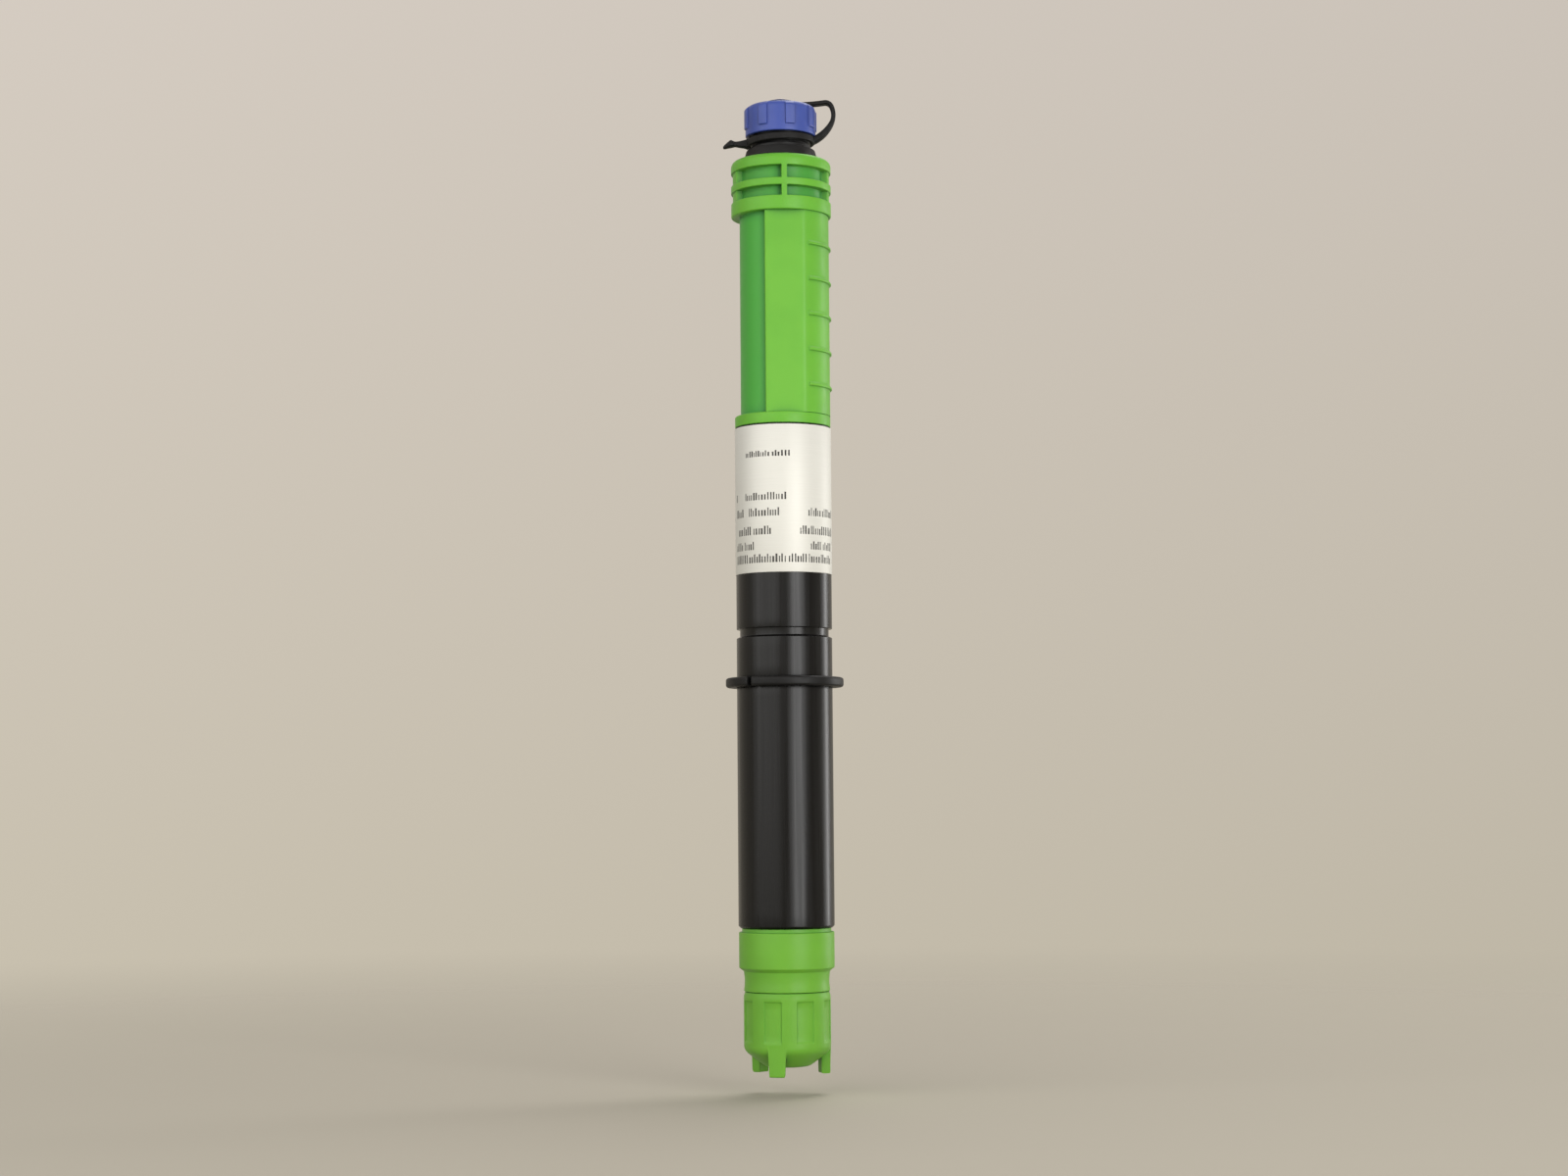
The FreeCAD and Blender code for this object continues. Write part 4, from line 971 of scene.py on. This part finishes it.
def flatRow(centre, normal, height, width, count=20):
    # A rounded flat section: width along Y, height along the normal
    row = []
    for k in range(count):
        angle = 2 * math.pi * k / count
        across, up = math.cos(angle), math.sin(angle)
        square = (abs(across) ** 4 + abs(up) ** 4) ** -0.25
        side = Vector((0, width / 2 * across * square, 0))
        row.append(centre + side + normal * (height / 2 * up * square))
    return row


def tetherBits(ringLevel, eyeletLow):
    # Strap, tail, neck ring and eyelet, still apart
    inner, outer = tether["inner"], tether["inner"] + tether["ringWall"]
    half, thickness = tether["ringHeight"] / 2, tether["thickness"]
    lift = outer * math.sin(math.radians(tether["tilt"]))
    start = (inner + tether["ringWall"] / 2, ringLevel + lift)
    line = bentLine(start, tether["heading"], tether["bends"], tether["bendSteps"])
    rows = []
    for i, point in enumerate(line):
        ahead = line[min(i + 1, len(line) - 1)] - line[max(i - 1, 0)]
        normal = Vector((-ahead.y, 0, ahead.x)).normalized()
        root = 1 - ramp(i, tether["rootFrom"], tether["rootTo"])
        thick = thickness + (tether["rootThickness"] - thickness) * root
        rows.append(flatRow(Vector((point.x, 0, point.y)), normal, thick, tether["width"]))
    strap = skinRows("tetherStrap", rows, closedRows=False)

    up = Vector((0, 0, 1))
    rows = []
    for x, rise, height, width in smoothLine(tether["tail"], tether["tailSteps"]):
        rows.append(flatRow(Vector((x, 0, ringLevel - lift + rise)), up, height, width))
    tail = skinRows("tetherTail", rows, closedRows=False)

    band = turnedPiece("tetherRing", [
        (inner, -half, 0.2), (outer, -half, 0.3), (outer, half, 0.3), (inner, half, 0.2)])
    band.data.transform(Matrix.Translation((0, 0, ringLevel * mm))
                        @ Matrix.Rotation(math.radians(-tether["tilt"]), 4, "Y"))
    hole, rim, eyeletTop = tether["eyeletHole"], tether["eyelet"], eyeletLow + thickness
    eyelet = turnedPiece("tetherEyelet", [
        (hole, eyeletLow, 0.15), (rim, eyeletLow, 0.25), (rim, eyeletTop, 0.3),
        (hole, eyeletTop, 0.2)])
    return strap, tail, band, eyelet


def makeTether():
    ringLevel = cap["low"] - tether["ringDrop"]
    low = cap["crown"] + tether["eyeletGap"]
    bm = bmesh.new()
    for bit in tetherBits(ringLevel, low):
        bm.from_mesh(bit.data)
        bpy.data.objects.remove(bit)
    piece = finishMesh("tetherRubber", bm)
    # One skin over all four, so the joints run into each other as in a moulding
    fuse = piece.modifiers.new("fuse", "REMESH")
    fuse.mode = "VOXEL"
    fuse.voxel_size = tether["voxel"] * mm
    soften = piece.modifiers.new("soften", "SMOOTH")
    soften.factor, soften.iterations = tether["soften"], tether["softenTimes"]
    graph = bpy.context.evaluated_depsgraph_get()
    mesh = bpy.data.meshes.new_from_object(piece.evaluated_get(graph))
    piece.modifiers.clear()
    piece.data = mesh
    mesh.shade_smooth()
    mesh.materials.clear()
    mesh.materials.append(plastics["epdmBlack"])
    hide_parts("tether_strap")
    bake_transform(piece)


makeBodyTube()
makeClampRing()
makeLabel()
makeLabelPrint()
makeGrip()
makeConnector()
makeScrewCap()
makeHead()
makeMembraneCap()
makeTether()
print("pieces made")


# Floor, light and camera
stage = dict(
    floorGap=5.3, floorRadius=5.0, floorSides=96, floorColour="#BBB3A3", fadeFrom=0.0, fadeTo=0.8,
    # The air's low and high colours and its side falloff are painted light on the backdrop
    airLight="#F2F1EF", airPower=0.24, airShadedLow="#C4BCAB", airLitHigh="#D5CCC4", airFrom=-0.05,
    airTo=0.4, paintedFalloffSpan=0.35, paintedFalloffLeft=1.06, paintedFalloffRight=0.93, lampAim=0.026)


def makeFloor():
    bm = bmesh.new()
    bmesh.ops.create_circle(
        bm, cap_ends=True, segments=stage["floorSides"], radius=stage["floorRadius"])
    floor = finishMesh("floorPaper", bm)
    floor.location.z = cadBox[0].z - stage["floorGap"] * mm
    material, tree, shader, coords = startMaterial("paperPale", {
        "Base Color": linear(stage["floorColour"]), "Roughness": 0.9})
    floor.data.materials.append(material)
    away = addNode(tree, "ShaderNodeVectorMath", {"operation": "LENGTH"}, {0: coords})
    fade = addNode(tree, "ShaderNodeMapRange", {
        "interpolation_type": "SMOOTHSTEP", "From Min": stage["fadeFrom"],
        "From Max": stage["fadeTo"], "To Min": 1.0, "To Max": 0.0},
        {"Value": away.outputs["Value"]})
    tree.links.new(fade.outputs[0], shader.inputs["Alpha"])


def makeAir():
    world = bpy.data.worlds.new("studioAir")
    bpy.context.scene.world = world
    world.use_nodes = True
    tree = world.node_tree
    tree.nodes.clear()
    light = addNode(tree, "ShaderNodeBackground", {
        "Color": linear(stage["airLight"]), "Strength": stage["airPower"]})
    seen = addNode(tree, "ShaderNodeBackground", {"Strength": 1.0})
    coords = addNode(tree, "ShaderNodeTexCoord").outputs["Generated"]
    split = addNode(tree, "ShaderNodeSeparateXYZ", {}, {0: coords})
    # Painted light falloff: the backdrop is painted lighter towards the top and darker towards the
    # bottom and the right
    height = addNode(tree, "ShaderNodeMapRange", {
        "From Min": stage["airFrom"], "From Max": stage["airTo"]}, {"Value": split.outputs["Z"]})
    tone = addNode(tree, "ShaderNodeMix", {
        "data_type": "RGBA", "A": linear(stage["airShadedLow"]), "B": linear(stage["airLitHigh"])},
        {"Factor": height.outputs[0]})
    side = addNode(tree, "ShaderNodeMapRange", {
        "From Min": -stage["paintedFalloffSpan"], "From Max": stage["paintedFalloffSpan"],
        "To Min": stage["paintedFalloffLeft"], "To Max": stage["paintedFalloffRight"]},
        {"Value": split.outputs["X"]})
    paintedFalloff = addNode(tree, "ShaderNodeVectorMath", {"operation": "SCALE"},
                   {0: tone.outputs["Result"], "Scale": side.outputs[0]})
    tree.links.new(paintedFalloff.outputs["Vector"], seen.inputs["Color"])
    # The backdrop, painted with that falloff, shows to the eye and in glossy surfaces, not as light
    path = addNode(tree, "ShaderNodeLightPath")
    shiny = addNode(tree, "ShaderNodeMath", {"operation": "MAXIMUM"}, {
        0: path.outputs["Is Glossy Ray"], 1: path.outputs["Is Transmission Ray"]})
    direct = addNode(tree, "ShaderNodeMath", {"operation": "MAXIMUM"}, {
        0: path.outputs["Is Camera Ray"], 1: shiny.outputs[0]})
    mix = addNode(tree, "ShaderNodeMixShader", {}, {
        0: direct.outputs[0], 1: light.outputs[0], 2: seen.outputs[0]})
    addNode(tree, "ShaderNodeOutputWorld", {}, {"Surface": mix.outputs[0]})


# Softboxes: turn and height of the place, distance, size and power
lamps = {
    "keyBox": dict(turn=31, height=0.04, distance=0.95, size=(0.5, 0.8), power=8.0),
    "sideBox": dict(turn=118, height=0.02, distance=1.0, size=(0.25, 0.7), power=3.2),
    "fillBox": dict(turn=-45, height=0.5, distance=1.4, size=(2.0, 1.2), power=13.8),
    "topBox": dict(turn=150, height=1.1, distance=0.6, size=(0.8, 0.8), power=7.0),
}


def makeLamps():
    middle = Vector((0, 0, stage["lampAim"]))
    for name, lamp in lamps.items():
        data = bpy.data.lights.new(name, "AREA")
        data.shape = "RECTANGLE"
        data.size, data.size_y = lamp["size"]
        data.energy = lamp["power"]
        obj = bpy.data.objects.new(name, data)
        bpy.context.scene.collection.objects.link(obj)
        obj.location = atTurn(lamp["distance"], lamp["turn"], lamp["height"])
        obj.rotation_mode = "QUATERNION"
        obj.rotation_quaternion = (middle - obj.location).to_track_quat("-Z", "Y")


camera = dict(
    distance=0.733, height=-0.0308, pitch=4.44, roll=-0.45, lens=64.35, near=0.05, far=50)


def makeCamera():
    data = bpy.data.cameras.new("studioCamera")
    data.lens = camera["lens"]
    data.clip_start, data.clip_end = camera["near"], camera["far"]
    obj = bpy.data.objects.new("studioCamera", data)
    bpy.context.scene.collection.objects.link(obj)
    obj.location = (0, -camera["distance"], camera["height"])
    turn = Matrix.Rotation(math.radians(90 + camera["pitch"]), 4, "X")
    obj.rotation_euler = (turn @ Matrix.Rotation(math.radians(camera["roll"]), 4, "Z")).to_euler()
    bpy.context.scene.camera = obj


makeFloor()
makeAir()
makeLamps()
makeCamera()
bpy.context.scene.view_settings.view_transform = "Standard"
print("stage set")

bpy.context.view_layer.update()
